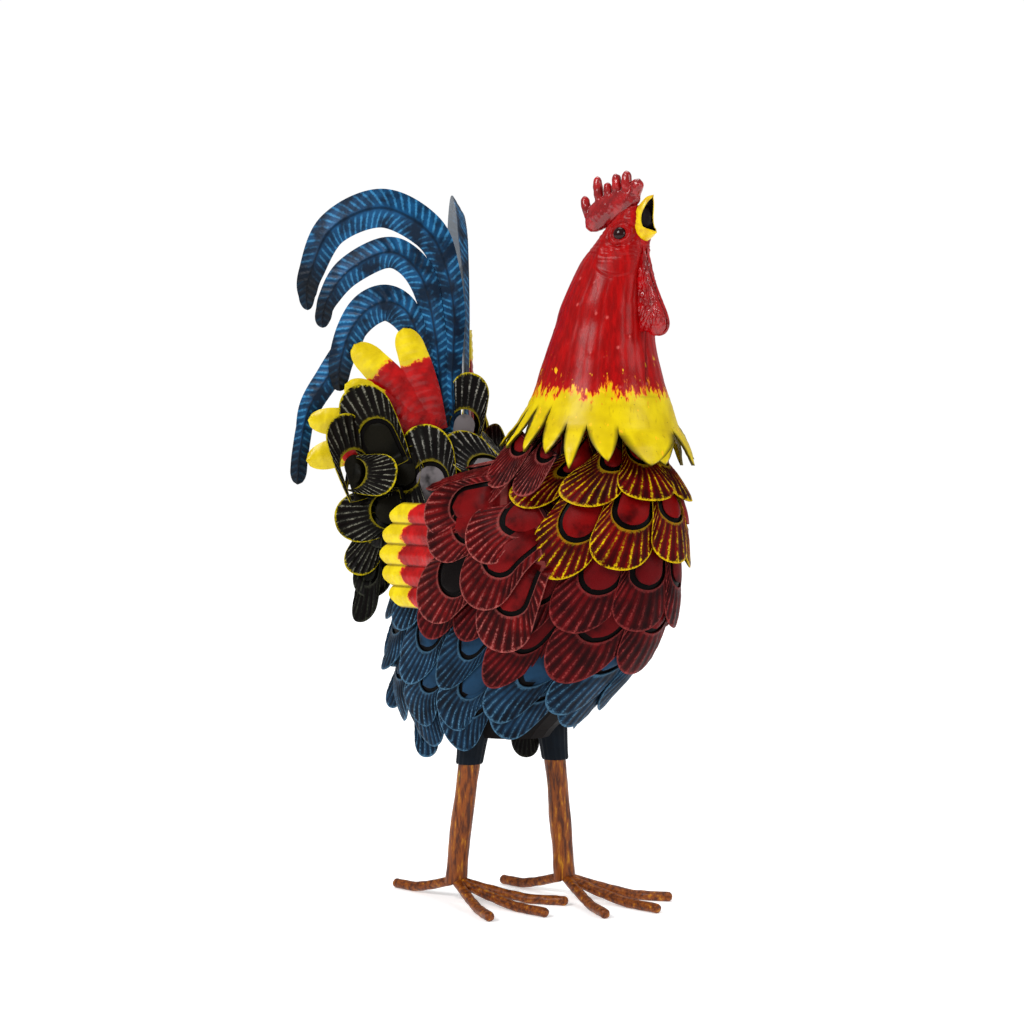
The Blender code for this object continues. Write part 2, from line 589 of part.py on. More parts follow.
def make_neck():
    """The neck and head in one piece, whose jagged hem hangs over the first feathers."""
    columns = 2 * NECK_POINTS
    vertices, faces = [], []

    def add(point):
        vertices.append(point)
        return len(vertices) - 1

    def level(share, pair):
        return pair[0] + (pair[1] - pair[0]) * (1 - math.cos(2 * math.pi * share)) / 2

    def band(low, high):
        for j in range(len(low)):
            n = (j + 1) % len(low)
            faces.append((low[j], low[n], high[n], high[j]))

    hems = []
    for out in (0.0, -HEM_THICKNESS):
        seam = [add(neck_point(j / columns, level(j / columns, HEM_NOTCH), out)) for j in range(columns)]
        rims = []
        for i in range(NECK_POINTS):
            rim = []
            for offset, fall, flare in ((0.5, 0.6, 0.6), (1.0, 1.0, 1.0), (1.5, 0.6, 0.6)):
                share = (2 * i + offset) / columns
                top, tip = level(share, HEM_NOTCH), level(share, HEM_TIP)
                rim.append(add(neck_point(share, top + (tip - top) * fall, out + HEM_FLARE * flare)))
            rims.append(rim)
            loop = [seam[2 * i]] + rim + [seam[(2 * i + 2) % columns]]
            for a, b in zip(loop, loop[1:]):
                faces.append((seam[2 * i + 1], a, b))
        hems.append((seam, rims))
    for i in range(NECK_POINTS):
        loops = [[seam[2 * i]] + rims[i] + [seam[(2 * i + 2) % columns]] for seam, rims in hems]
        for n in range(len(loops[0]) - 1):
            faces.append((loops[0][n], loops[0][n + 1], loops[1][n + 1], loops[1][n]))
    outer = [add(neck_point(j / columns, NECK_BASE + NECK_SEAM, 0.0)) for j in range(columns)]
    inner = [add(neck_point(j / columns, NECK_BASE, -HEM_THICKNESS)) for j in range(columns)]
    band(hems[0][0], outer)
    band(hems[1][0], inner)
    faces.append(tuple(inner))
    lower = outer
    for number, height in enumerate(NECK_LEVELS):
        size = NECK_POINTS
        ring = []
        for j in range(size):
            lump = NECK_LUMP * (1 if (j + number) % 2 else -1) if height < NECK_LUMP_TOP else 0.0
            ring.append(add(neck_point(j / size, height, lump)))
        if len(lower) == 2 * size:
            for j in range(size):
                n = (j + 1) % size
                a, b, c = lower[2 * j], lower[2 * j + 1], lower[2 * n]
                faces.extend(((a, b, ring[j]), (b, c, ring[n]), (b, ring[n], ring[j])))
        else:
            band(lower, ring)
        lower = ring
    crown_centre = smooth_row(NECK_SECTIONS, NECK_SECTIONS[-1][0])[0]
    crown = add((crown_centre, 0.0, CROWN_HEIGHT))
    for j in range(len(lower)):
        faces.append((lower[j], lower[(j + 1) % len(lower)], crown))
    make_object("neck_and_head", vertices, faces, material("neck_red", (0.45, 0.01, 0.015), 0.3, 0.2))


def make_head_trim():
    red = material("comb_red", (0.5, 0.012, 0.018), 0.3, 0.15)
    outline = []
    for i, (x, z, radius) in enumerate(COMB_LOBES):
        for angle in (200.0, 135.0, 90.0, 45.0, -20.0):
            turn = math.radians(angle)
            outline.append((x + radius * math.cos(turn), z + radius * math.sin(turn)))
        if i < len(COMB_VALLEYS):
            outline.append(COMB_VALLEYS[i])
    outline.extend(COMB_BASE)
    pillow("comb", outline, 0.0, COMB_HALF_THICKNESS, COMB_EDGE, red)
    drop = list(WATTLE_FRONT)
    for x, z in reversed(WATTLE_FRONT[1:-2]):
        centre, half_length, half_width, rise = smooth_row(NECK_SECTIONS, z)
        drop.append((centre + half_length + NECK_LUMP + WATTLE_GAP, z + WATTLE_RISE))
    for side, word in ((-1, "right"), (1, "left")):
        pillow(f"wattle_{word}", drop, side * WATTLE_Y, WATTLE_HALF_THICKNESS, 1.5, red)
        make_eye(side, word)
    yellow = material("beak_yellow", (0.65, 0.42, 0.02), 0.35, 0.1)
    for name, (ridge, corner, tip), up in (("beak_upper", BEAK_UPPER, 1.0), ("beak_lower", BEAK_LOWER, -1.0)):
        make_mandible(name, ridge, corner, tip, up, yellow)


def make_mandible(name, ridge, corner, tip, up, yellow):
    """Half of the beak: a trough that narrows to its tip."""
    ridge, corner, tip = (np.array(p) for p in (ridge, corner, tip))
    rings = []
    for share in (0.0, 0.35, 0.7, 0.97):
        lift = BEAK_BULGE * math.sin(math.pi * share) * up
        top = ridge + (tip - ridge) * share + np.array([0.0, 0.0, lift])
        edge = corner + (tip - corner) * share
        middle = np.array([edge[0], 0.0, edge[2]])
        outer, inner = [], []
        for angle in (0.0, 45.0, 90.0, 135.0, 180.0):
            turn = math.radians(angle)
            across = math.cos(turn)
            deep = math.sin(turn)
            outer.append(middle + (top - middle) * deep + np.array([0.0, edge[1] * across, 0.0]))
            shrink = max(0.35, 1.0 - BEAK_SHEET / max(edge[1], 0.6))
            inner.append(middle + (top - middle) * deep * shrink
                         + np.array([0.0, edge[1] * across * shrink, 0.0]))
        rings.append(outer + inner[::-1])
    loft(name, rings, yellow)


def make_eye(side, word):
    x, z = EYE_PLACE
    centre, half_length, half_width, rise = smooth_row(NECK_SECTIONS, z)
    y = half_width * math.sqrt(1.0 - ((x - centre) / half_length) ** 2)
    normal = np.array([(x - centre) / half_length**2, y / half_width**2, 0.25 / half_width])
    normal /= np.linalg.norm(normal)
    base = np.array([x, y, z]) + normal * EYE_CLEARANCE
    first = np.cross(normal, (0.0, 0.0, 1.0))
    first /= np.linalg.norm(first)
    second = np.cross(first, normal)
    rings = []
    for spread, lift in ((1.0, 0.0), (0.85, 0.55), (0.5, 0.88), (0.12, 1.0)):
        ring = []
        for i in range(10):
            turn = 2 * math.pi * i / 10
            point = base + (first * math.cos(turn) + second * math.sin(turn)) * EYE_RADIUS * spread
            point = point + normal * EYE_HEIGHT * lift
            ring.append((point[0], side * point[1], point[2]))
        rings.append(ring)
    loft(f"eye_{word}", rings, material("eye_dark", (0.03, 0.012, 0.01), 0.08, 0.0))


def make_leg(path, word):
    line = spline(path, 6)
    top = SHELL_BOTTOM - GAP
    rings = []
    for i, (x, y) in enumerate(line):
        share = i / (len(line) - 1)
        height = LEG_BOTTOM + (top - LEG_BOTTOM) * share
        wobble = 1.0 + 0.05 * math.cos(5.0 * share * math.pi)
        ring = []
        for n in range(LEG_SIDES):
            turn = 2 * math.pi * n / LEG_SIDES
            ring.append((x + LEG_RADIUS * wobble * math.cos(turn), y + LEG_RADIUS * math.sin(turn), height))
        rings.append(ring)
    loft(f"leg_{word}", rings, material("leg_orange", (0.36, 0.13, 0.02), 0.45, 0.4))
    return line[0]


def make_foot(ankle, side, word):
    brown = material("leg_orange", (0.36, 0.13, 0.02), 0.45, 0.4)
    headings = {"outer": side * TOE_SPREAD, "middle": 0.0, "inner": -side * TOE_SPREAD}
    toes = [(name, headings[name], length) for name, length in TOE_LENGTHS]
    toes.append(("hind", 180.0, HIND_TOE_LENGTH))
    start = LEG_RADIUS * 1.05 + TOE_CLEARANCE
    for name, heading, length in toes:
        turn = math.radians(heading)
        ahead = np.array([math.cos(turn), math.sin(turn), 0.0])
        aside = np.array([-math.sin(turn), math.cos(turn), 0.0])
        rings = []
        stations = [start, 0.2 * length, (1.0 - TOE_FLAT) * length, 0.96 * length, length]
        for n, distance in enumerate(stations):
            sink = max(0.0, 1.0 - (distance - start) / (stations[2] - start))
            height = TOE_RADIUS + (TOE_ROOT_HEIGHT - TOE_RADIUS) * sink
            room = distance * math.tan(math.radians(TOE_SPREAD / 2)) - GAP
            half_width = TOE_RADIUS if name == "hind" else min(TOE_RADIUS, room)
            shrink = 0.6 if n == len(stations) - 1 else 1.0
            ring = []
            for i in range(TOE_SIDES):
                angle = 2 * math.pi * (i + 0.5) / TOE_SIDES
                across = half_width * shrink * math.cos(angle) / math.cos(math.pi / TOE_SIDES)
                upward = TOE_RADIUS * (math.sin(angle) / math.cos(math.pi / TOE_SIDES))
                if upward > 0 and n == len(stations) - 1:
                    upward *= shrink
                centre = np.array([ankle[0], ankle[1], height])
                ring.append(centre + ahead * distance + aside * across + np.array([0.0, 0.0, upward]))
            rings.append(ring)
        loft(f"toe_{name}_{word}", rings, brown)


def material(name, colour, roughness, metallic):
    existing = bpy.data.materials.get(name)
    if existing:
        return existing
    made = bpy.data.materials.new(name)
    made.use_nodes = True
    shader = made.node_tree.nodes["Principled BSDF"]
    shader.inputs["Base Color"].default_value = (*colour, 1.0)
    shader.inputs["Roughness"].default_value = roughness
    shader.inputs["Metallic"].default_value = metallic
    made.diffuse_color = (*colour, 1.0)
    return made


for old in list(bpy.data.objects):
    bpy.data.objects.remove(old, do_unlink=True)

FRAME = bpy.data.objects.new("frame", None)
bpy.context.collection.objects.link(FRAME)
FRAME.location = (FRAME_SHIFT * MM, 0.0, 0.0)

make_shell()
make_coat()
make_collar()
make_neck()
make_head_trim()
for SIDE, WORD, LEG in ((-1, "right", RIGHT_LEG), (1, "left", LEFT_LEG)):
    make_tail(SIDE, WORD)
    make_rump(SIDE, WORD)
    make_wing(SIDE, WORD)
    path = [(x, SIDE * abs(y)) for x, y in LEG]
    make_foot(make_leg(path, WORD), SIDE, WORD)
bpy.context.view_layer.update()
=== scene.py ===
"""Looks of the standing metal rooster: painted feather plates, hackled neck, comb, beak, tail and feet.

Layout values are the part's own, in millimetres, with the same meaning as in its source.
Pieces are made in millimetres and moved into the frame, in metres, by SHIFT.
"""
import math

import bmesh
import bpy
import numpy as np
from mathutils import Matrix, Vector


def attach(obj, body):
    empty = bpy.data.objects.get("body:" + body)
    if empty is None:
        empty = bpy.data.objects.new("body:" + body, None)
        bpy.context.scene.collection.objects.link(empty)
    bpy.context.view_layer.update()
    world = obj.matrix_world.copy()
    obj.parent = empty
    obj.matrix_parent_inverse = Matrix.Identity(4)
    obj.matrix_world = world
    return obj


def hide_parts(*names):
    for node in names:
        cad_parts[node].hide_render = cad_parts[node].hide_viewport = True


MM = 0.001
SHIFT = np.array([-4.4, 0.0, 0.0])
UPWARD = np.array([0.0, 0.0, 1.0])
SIDES = ((-1, "right"), (1, "left"))
RANDOM = np.random.RandomState(11)

# Body: height, rearmost X, foremost X, half width of the outer surface of the feathers
BODY_SECTIONS = (
    (104, -60, 34, 40),
    (124, -80, 48, 48),
    (146, -102, 74, 57),
    (178, -109, 117, 65),
    (207, -111, 139, 69),
    (235, -104, 149, 70),
    (262, -96, 153, 70),
    (285, -88, 155, 68),
    (300, -76, 152, 64),
    (313, -42, 146, 59),
    (325, 2, 138, 52),
    (337, 22, 132, 46),
    (362, 36, 128, 40),
)
# Coat rows: feathers in the ring, phase, tip height at front, side and rear, plate length
COAT_ROWS = (
    (14, 0.5, 293, 286, 317, 78),
    (15, 0, 250, 236, 236, 80),
    (15, 0.5, 208, 194, 200, 80),
    (12, 0, 175, 158, 166, 78),
    (11, 0.5, 146, 127, 136, 70),
    (9, 0, 131, 114, 111, 62),
)
# Paint of the feathers in each row, up to so many degrees from the front
COAT_PAINTS = (((84, "yellow"), (181, "wing")), ((62, "yellow"), (118, "red"), (181, "black")),
               ((112, "red"), (181, "blue")), ((64, "red"), (181, "blue")), ((181, "blue"),))
SLOTS = {"yellow": "coat_yellow_red", "red": "coat_red", "blue": "coat_blue", "black": "rump_black",
         "wing": "wing_red", "shaded_black": "rump_black"}
COAT_TILT = 40.0        # lean of the feathers on the side, in degrees
TILT_PIVOT = 22.0       # a feather leans about a point so far from its tip
ROOT_INSET = 10.0
ROOT_CEILING = 340.0
REAR_CEILING = 286.0
BACK_SINK = 4.0         # the first row lies this much lower on the back

# Feather plate
SHEET = 0.9
RIBS = 20
RIB_HEIGHT = 0.8
RIB_STEPS = 4
BAND_RADII = (0, 0.1, 0.28, 0.5, 0.72, 0.88, 0.96, 1)
FAN_LENGTH = 27.0       # from the slot to the tip
SLOT_WIDTH = 3.5
TONGUE_SHARE = 0.53     # of the feather's half width
SLOT_ARM = 24.0
TONGUE_COLUMNS = 9
BEND_LENGTH = 40.0      # the tip of a free feather curls over this length
# The last kind is a sheet sunk across the slot, painted near black as painted shade for the gap seen through
# it.
ROOT_PLATE, FAN, TONGUE, SLOT_SHADE_SHEET = 0, 1, 2, 3    # kinds of surface on a feather

# Neck and head: height, centre X, half length, half width, rise toward the front
NECK_SECTIONS = (
    (312, 78, 68, 63.5, 0),
    (331, 80, 64.5, 60, 0),
    (346, 82, 57, 52.5, 0),
    (362, 83.8, 50.5, 46.5, 0),
    (380, 84.4, 44.5, 41, 0),
    (397, 85.4, 39.5, 36.5, 0),
    (415, 87, 35, 31.5, 0),
    (432, 89.6, 31, 27.5, 0),
    (446, 92.6, 28.5, 23, 0.02),
    (459, 97.2, 26.5, 19, 0.06),
    (470, 102.6, 22.5, 16, 0.14),
    (478, 104.6, 18.2, 13.8, 0.24),
    (484, 106.6, 15.4, 12, 0.36),
    (489.5, 109.6, 11.8, 9.4, 0.48),
)
CROWN_HEIGHT = 493.0
# Lower edge of the neck, notch and tip in turn: share of the way round, height
HEM_RIGHT = ((0.655, 358), (0.676, 329), (0.7, 360), (0.732, 327), (0.746, 349), (0.776, 326),
             (0.796, 347), (0.82, 316), (0.836, 346), (0.88, 321), (0.897, 341), (0.952, 318),
             (1.032, 342), (1.076, 317), (1.105, 343))
HEM_LEFT = ((0.12, 321), (0.164, 346), (0.18, 316), (0.204, 347), (0.224, 326), (0.254, 349),
            (0.268, 327), (0.3, 360), (0.324, 329), (0.348, 358))
HEM_BACK = ((0.375, 330), (0.405, 357), (0.435, 331), (0.465, 358), (0.5, 329), (0.535, 358),
            (0.565, 331), (0.595, 357), (0.625, 330), (0.655, 358))
HEM_UNDER = (0.935, 340.0, 0.988, 318.0, 1.03, 342.0)    # a leaf that shows below the widest one
HEM_TOP = 364.0
HEM_THICKNESS = 1.6
HEM_FLARE = 3.5
NECK_SEAM = ((376, 0.982), (397, 1.004), (415, 1.024), (432, 1.042), (470, 1.08))
NECK_COLUMNS = 220
HACKLE_COLUMNS = 26
HACKLE_LENGTH = 27.0
HACKLE_HEIGHT = 0.5

# Legs and toes
LEG_RADIUS = 7.8
LEG_BOTTOM = 12.5
LEG_TOP = 128.0
LEG_RINGS = 90
CUFF_RINGS = ((100.5, 9.2), (101.5, 9.6), (106.0, 9.8), (114.0, 10.4), (127.0, 11.5))    # height, radius
LEGS = {"right": ((-26, -32), (-21.5, -31.5), (-16, -30), (-10.5, -28.5)),
        "left": ((23, 32), (19.5, 31.5), (16.5, 30), (12.5, 28.5))}
TOE_RADIUS = 3.5
TOE_ROOT_HEIGHT = 13.5
TOE_SPREAD = 28.0
TOE_LENGTHS = {"outer": 80, "middle": 90, "inner": 84, "hind": 64.0}
TOE_FLAT = 0.32
TOE_END = 3.0           # length of the rounded end

# Tail
TAIL_ROOT = (-49.4, 2.5)
TAIL_SPLAY = 41.0
SICKLE_RIDGE = 3.4
SICKLE_STEP = 0.9
FLUTE_LENGTH = 5.2
BLADE_END = 6.2         # least half width toward the blunt end of a blade
BLADE_ROUND = 0.955
STEM_EXTRA = 1.6        # the stems are wider than the part's by this half width
LEFT_ROLL = 0.36        # how far the foremost left blade turns its inner face forward
SICKLES = (
    ("1", 0, ((4, 339, 3.4), (6, 377, 4.6), (4.5, 425, 6.4), (11, 461, 9.8), (25, 487, 13.2),
              (58, 503, 14.2), (94, 488, 12.3), (110, 456, 9.2), (113, 440, 6.8),
              (112.5, 428.5, 1.6))),
    ("2", 1, ((11.2, 339, 2.8), (14.6, 377, 3.8), (18.6, 412, 6.8), (26.5, 448, 10.4), (40, 466, 11.2),
              (57, 470, 11.4), (83, 456, 10.6), (97, 437, 7.6), (101, 424, 5),
              (101.5, 415.5, 1.2))),
    ("3", 2, ((17.4, 339, 2.4), (21.6, 377, 3), (29.5, 406, 6), (39.5, 427.5, 9.6), (54, 434, 13),
              (69, 428, 13), (81, 412, 10.7), (88, 390, 9), (89, 377, 6.5),
              (88.5, 369, 1.4))),
    ("4", -4, ((27, 352, 2.6), (28, 385, 4.4), (37, 414, 6), (54, 428, 7), (72, 422, 8),
               (84, 402, 9), (97, 381, 9.3), (112, 356, 8), (118.5, 326, 3.8),
               (121, 300, 0.4))),
)
TAIL_FAN_CENTRE = (18.5, 340)
TAIL_FAN_LAYER = 5.9
# Feathers of the fan: heading above straight back, reach, half width
TAIL_FAN = ((76, 78.5, 9.5), (49.5, 86.5, 9.8), (30.4, 74, 9), (7.2, 93.5, 9), (-10.8, 97, 9.5))

# Black feathers beside the root of the tail, in an upright plane turned out from straight back
RUMP_SPLAY = 26.0
RUMP_BACK_CENTRE = (-46, 42.5, 304)
RUMP_LEAN = 0.06
RUMP_ROOT_SINK = 4.0
# Tip and root of each, straight back and up in that plane, half width, layer, turn about its length
RUMP_FEATHERS = (
    # Feathers with the darker paint lie deep under the others; that paint is a darker copy of the black, as
    # painted shade.
    ("black", (12, -34), (22, 26), 16, -5, 0),
    ("black", (55, -68), (32, -26), 13, -3, 0),
    ("shaded_black", (46, -104), (42, -40), 13.5, -4, -30),
    ("shaded_black", (34, -50), (31, 18), 17, -8, 0),
    ("shaded_black", (44, -86), (38, -22), 15, -9, 0),
    ("black", (68, -31), (16, -19), 18.5, -1, 0),
    ("black", (57, 68), (27, 6), 20.5, -3, 0),
    ("black", (67, 47), (45, -16), 17, 3, -50),
    ("black", (17, 3), (60, 5), 15.5, 6.5, 14),
)
# These get a sunk sheet across the slot, painted near black as painted shade in place of the gap.
RUMP_CLOSED = (0, 3, 4, 6)      # these show no daylight through the slot
# One that stands upright before the blades: tip, root, outward direction, half width
UPRIGHT_FEATHER = ((-40, 2, 382), (-48, -8, 312), (0.45, -0.89, 0.1), 15)
# Feathers that stand on the back before the tail: tip, root, outward direction, half width
COLLAR_FEATHERS = (
    ((-47, -15, 334), (4, -13, 303), (0.35, -0.45, 0.8), 17),
    ((-58, -33, 343.5), (-40, -38, 276), (0.25, -0.93, 0.25), 22.5),
)

# Loose feathers below the tail and the belly: paint, tip, root, outward direction, half width
BELLY_FEATHERS = (
    ("blue", (-102, -27, 165), (-80.4, -22, 218), (-0.2, -0.98, 0), 13),
    ("blue", (-105, -25, 134), (-76, -22, 180), (-0.2, -0.98, 0), 9),
    ("blue", (-72, -27, 147), (-64.8, -22, 190), (0, -1, 0), 12),
    ("blue", (-62.9, -27, 99.5), (-64.8, -22, 152), (0.1, -1, 0), 11),
    ("blue", (-25.8, -27, 108.5), (-26.8, -22, 148), (0.1, -1, 0), 12),
    ("shaded_black", (-13.7, 25, 99.1), (-5.7, 25, 138), (0.2, -1, 0), 12),
)

# Wing feathers: heading below straight back, reach from the shoulder, half width, layer, middle painted as
# the shade of a hole
WING_SHOULDER = (96, 303)
WING_ROOT = 20.0
WING_SINK = 15.0        # how far the roots lie below the plane of the wing
WING_LOWER = ((67, 122, 22, 2.6, 0), (38, 144, 22.5, 3.6, 1), (21.3, 112, 21, 5.4, 0))
WING_UPPER = ((10.5, 112, 18.5, 6.2, 0), (52.6, 101, 22, 7, 0), (37, 74, 21, 8.4, 0))
WING_SLOPE = 0.022
# Feathers between the wing and the hem of the neck: tip, root, outward direction, half width
SHOULDER_FACING = (-0.05, -0.85, 0.5)
SHOULDER_FEATHERS = (
    ((27.8, -69, 291), (55.5, -60, 318.3), SHOULDER_FACING, 14),
    ((42.2, -66, 302.3), (63.1, -52, 337.6), SHOULDER_FACING, 14),
    ((70.4, -69, 297), (87.1, -56, 329.7), SHOULDER_FACING, 14),
)
WING_TIP_FLUTES = 5
WING_TIP_HEIGHTS = (289, 214)
WING_TIP_FRONT = 12.0
WING_TIP_REAR = -66.0
WING_TIP_LAYER = 1.9

# Comb: X, Z and radius of each lobe tip, then its lower edge
COMB_LOBES = ((69.6, 501.5, 3.2), (81.2, 514.6, 3.2), (90.6, 510, 3),
              (98.6, 515.2, 3.3), (107.8, 516.4, 3.5), (117.4, 509.8, 4.2))
COMB_ROOTS = ((73, 490), (83.5, 497.5), (92, 499), (100, 501.5), (108.2, 503), (115.5, 503))
COMB_SPINE = ((71.6, 487.5, 8), (77, 487.4, 10.4), (85, 491.4, 11.2), (94, 495.4, 9.4),
              (103.5, 498.2, 8.8), (112, 500.2, 7.6), (118, 503, 6.4))
# Each half of the beak: X, half width, Z of its rim, from the corner of the mouth to the tip,
# then X, Z of its ridge
BEAK_UPPER = (((126.1, 7.2, 483.5), (126.2, 6.9, 488), (127.4, 5.9, 492.4), (129.1, 3.9, 496.9),
               (131.5, 0.3, 501)),
              ((117.5, 493.5), (120.5, 495.6), (123.3, 498), (126.8, 501), (131.8, 502)))
BEAK_LOWER = (((126.1, 7.2, 483.9), (127.3, 6.9, 480.6), (129.3, 5.9, 479.2), (131.2, 3.9, 478.3),
               (134.4, 0.3, 476.8)),
              ((121, 470), (125, 470.8), (128.4, 472.7), (131.6, 474.7), (134.8, 475.9)))
BEAK_THICK = 0.9
BEAK_SLEEVE = 7.0
THROAT = (123.6, 486.6)
THROAT_SIZE = (3.4, 6.2, 8.6)      # half its length, width and height
EYE_PLACE = (112.6, 475.8)
EYE_RADIUS = 4.5
# Swellings of the head: X, Z, length, height, amount
HEAD_BUMPS = ((121, 484, 5, 8, 2), (113, 464.5, 4.5, 2.2, 0.8), (112, 460.6, 6, 1.2, -0.6),
              (98, 462, 3.2, 8, 1))
EAR_PLACE = (108, 446.5)
WATTLE_FRONT = ((124.5, 468), (126, 460), (128.6, 452), (132, 443), (137.5, 431.5), (143, 420.5),
                (144.5, 413), (141, 407.5), (134, 406), (127.5, 409))
WATTLE_MIDDLE = np.array([134.0, 424.0])
WATTLE_Y = 2.0
WATTLE_THICK = 1.8

# Camera, lights and room, in metres and degrees
VIEW_HEADING = 43.0
VIEW_PITCH = 2.644
VIEW_DISTANCE = 1.7
VIEW_HEIGHT = 0.36
VIEW_FOCAL = 2353.0     # in pixels
VIEW_PIXELS = 1024.0
LIGHT_TARGET = (0, 0, 0.25)
LIGHTS = (("key", (-0.1, -2.1, 1.9), 1.1, 46), ("fill", (2, 0.2, 1), 1.2, 16),
          ("top", (-0.3, 0.4, 2.4), 1.4, 20))
# Light of the room on the object, and as seen behind it
ROOM_LIGHT = 0.38
ROOM_SEEN = 1.02
FLOOR_GLOW = (0.36, 0.72)     # near the object and far from it


# Curves and surfaces of the part

def smooth_rows(table, heights):
    """Returns the columns of a table at the given heights, along a smooth curve through its rows."""
    rows = np.asarray(table, float)
    knots = rows[:, 0]
    heights = np.clip(np.asarray(heights, float), knots[0], knots[-1])
    index = np.clip(np.searchsorted(knots, heights) - 1, 0, len(knots) - 2)
    slopes = np.gradient(rows[:, 1:], knots, axis=0)
    step = (knots[index + 1] - knots[index])[..., None]
    t = (heights - knots[index])[..., None] / step
    low, high = rows[index, 1:], rows[index + 1, 1:]
    value = (low * (2 * t**3 - 3 * t**2 + 1) + high * (3 * t**2 - 2 * t**3)
             + slopes[index] * step * (t**3 - 2 * t**2 + t) + slopes[index + 1] * step * (t**3 - t**2))
    return [value[..., n] for n in range(value.shape[-1])]


def spline(points, count):
    """Returns evenly numbered points on a smooth curve through the given points."""
    points = np.asarray(points, float)
    padded = np.vstack([2 * points[0] - points[1], points, 2 * points[-1] - points[-2]])
    result = []
    for place in np.linspace(0.0, len(points) - 1.0, count):
        index = min(int(place), len(points) - 2)
        t = place - index
        a, b, c, d = padded[index:index + 4]
        result.append(0.5 * (2 * b + (c - a) * t + (2 * a - 5 * b + 4 * c - d) * t**2
                             + (3 * b - a - 3 * c + d) * t**3))
    return np.array(result)


def body_surface(share, level):
    """A point on the body and the direction round it there."""
    rear, front, half_width = smooth_rows(BODY_SECTIONS, level)
    half_length = (front - rear) / 2
    turn = math.tau * share
    turn = turn + (half_length - half_width) / (2 * (half_length + half_width)) * np.sin(2 * turn)
    place = np.stack([(front + rear) / 2 + half_length * np.cos(turn), half_width * np.sin(turn), level], -1)
    along = np.stack([-half_length * np.sin(turn), half_width * np.cos(turn), 0 * turn], -1)
    return place, along


def body_points(share, height, out):
    """Points on the body; share runs once round it from the front toward its left."""
    place, along = body_surface(share, height)
    upward = body_surface(share, height + 1.0)[0] - body_surface(share, height - 1.0)[0]
    normal = np.cross(along, upward)
    normal /= np.linalg.norm(normal, axis=-1, keepdims=True)
    return place + normal * np.asarray(out)[..., None]


def side_points(side, x, z, out):
    """Points on the flank of the body, flattened toward its front and rear."""
    rear, front, half_width = smooth_rows(BODY_SECTIONS, z)
    along = (x - (rear + front) / 2) / ((front - rear) / 2)
    flattest = np.where(along < 0.0, 0.85, 0.3)
    y = half_width * np.sqrt(np.maximum(1.0 - along**2, flattest))
    return np.stack([x, side * (y + out), z + 0 * x], -1)


def neck_points(share, height, out):
    """Points on the neck; share runs once round it from the front toward its left."""
    centre, half_length, half_width, rise = smooth_rows(NECK_SECTIONS, height)
    turn = math.tau * share
    reach = (half_length + out) * np.cos(turn)
    return np.stack([centre + reach, (half_width + out) * np.sin(turn), height + rise * reach], -1)


def turned_axes(side, splay):
    """Back and outward in an upright plane that is turned out from straight back by splay degrees."""
    turn = math.radians(splay)
    return (np.array([-math.cos(turn), side * math.sin(turn), 0.0]),
            np.array([math.sin(turn), side * math.cos(turn), 0.0]))


def plane_points(side, splay, origin, ahead, up, out):
    """Points of such a plane from an origin given for the left side."""
    back, outward = turned_axes(side, splay)
    base = np.array([origin[0], side * origin[1], origin[2]])
    moves = ((ahead, back), (up, UPWARD), (out, outward))
    return base + sum(np.asarray(value)[..., None] * axis for value, axis in moves)


def step_up(value, low, high):
    """A smooth step from 0 at low to 1 at high."""
    t = np.clip((np.asarray(value, float) - low) / (high - low), 0.0, 1.0)
    return t * t * (3 - 2 * t)


def hill(value, centre, width):
    """A smooth hill of height 1."""
    return np.exp(-((value - centre) / width) ** 2)


def lumps(points, scale, seed):
    """Soft repeatable unevenness between -1 and 1 at the given points; scale is its size in millimetres."""
    p = np.asarray(points, float) / scale
    rng = np.random.RandomState(seed)
    total = np.zeros(p.shape[:-1])
    for _ in range(7):
        direction = rng.normal(size=3)
        direction /= np.linalg.norm(direction)
        total += np.sin(p @ direction * math.tau * rng.uniform(0.6, 1.5) + rng.uniform(0, 6.3))
    return total / 4.0


def circle(sides):
    """Angles once round a ring of points."""
    return math.tau * np.arange(sides) / sides


def grid(rows, columns):
    """Values from -1 to 1 across and from 0 to 1 along a grid of points."""
    return np.meshgrid(np.linspace(-1, 1, columns), np.linspace(0, 1, rows))


# Meshes

def thicken(faces, count):
    """Front, back and side faces of a sheet whose back points follow its front points."""
    rim = {}
    for face in faces:
        for a, b in zip(face, face[1:] + face[:1]):
            if (b, a) in rim:
                del rim[(b, a)]
            else:
                rim[(a, b)] = True
    back = [tuple(i + count for i in reversed(face)) for face in faces]
    sides = [(b, a, a + count, b + count) for a, b in rim]
    return faces + back + sides


def grid_faces(rows, columns, start=0, wrap=False):
    faces = []
    for i in range(rows - 1):
        low = start + i * columns
        high = low + columns
        for j in range(columns if wrap else columns - 1):
            n = (j + 1) % columns
            faces.append((low + j, low + n, high + n, high + j))
    return faces


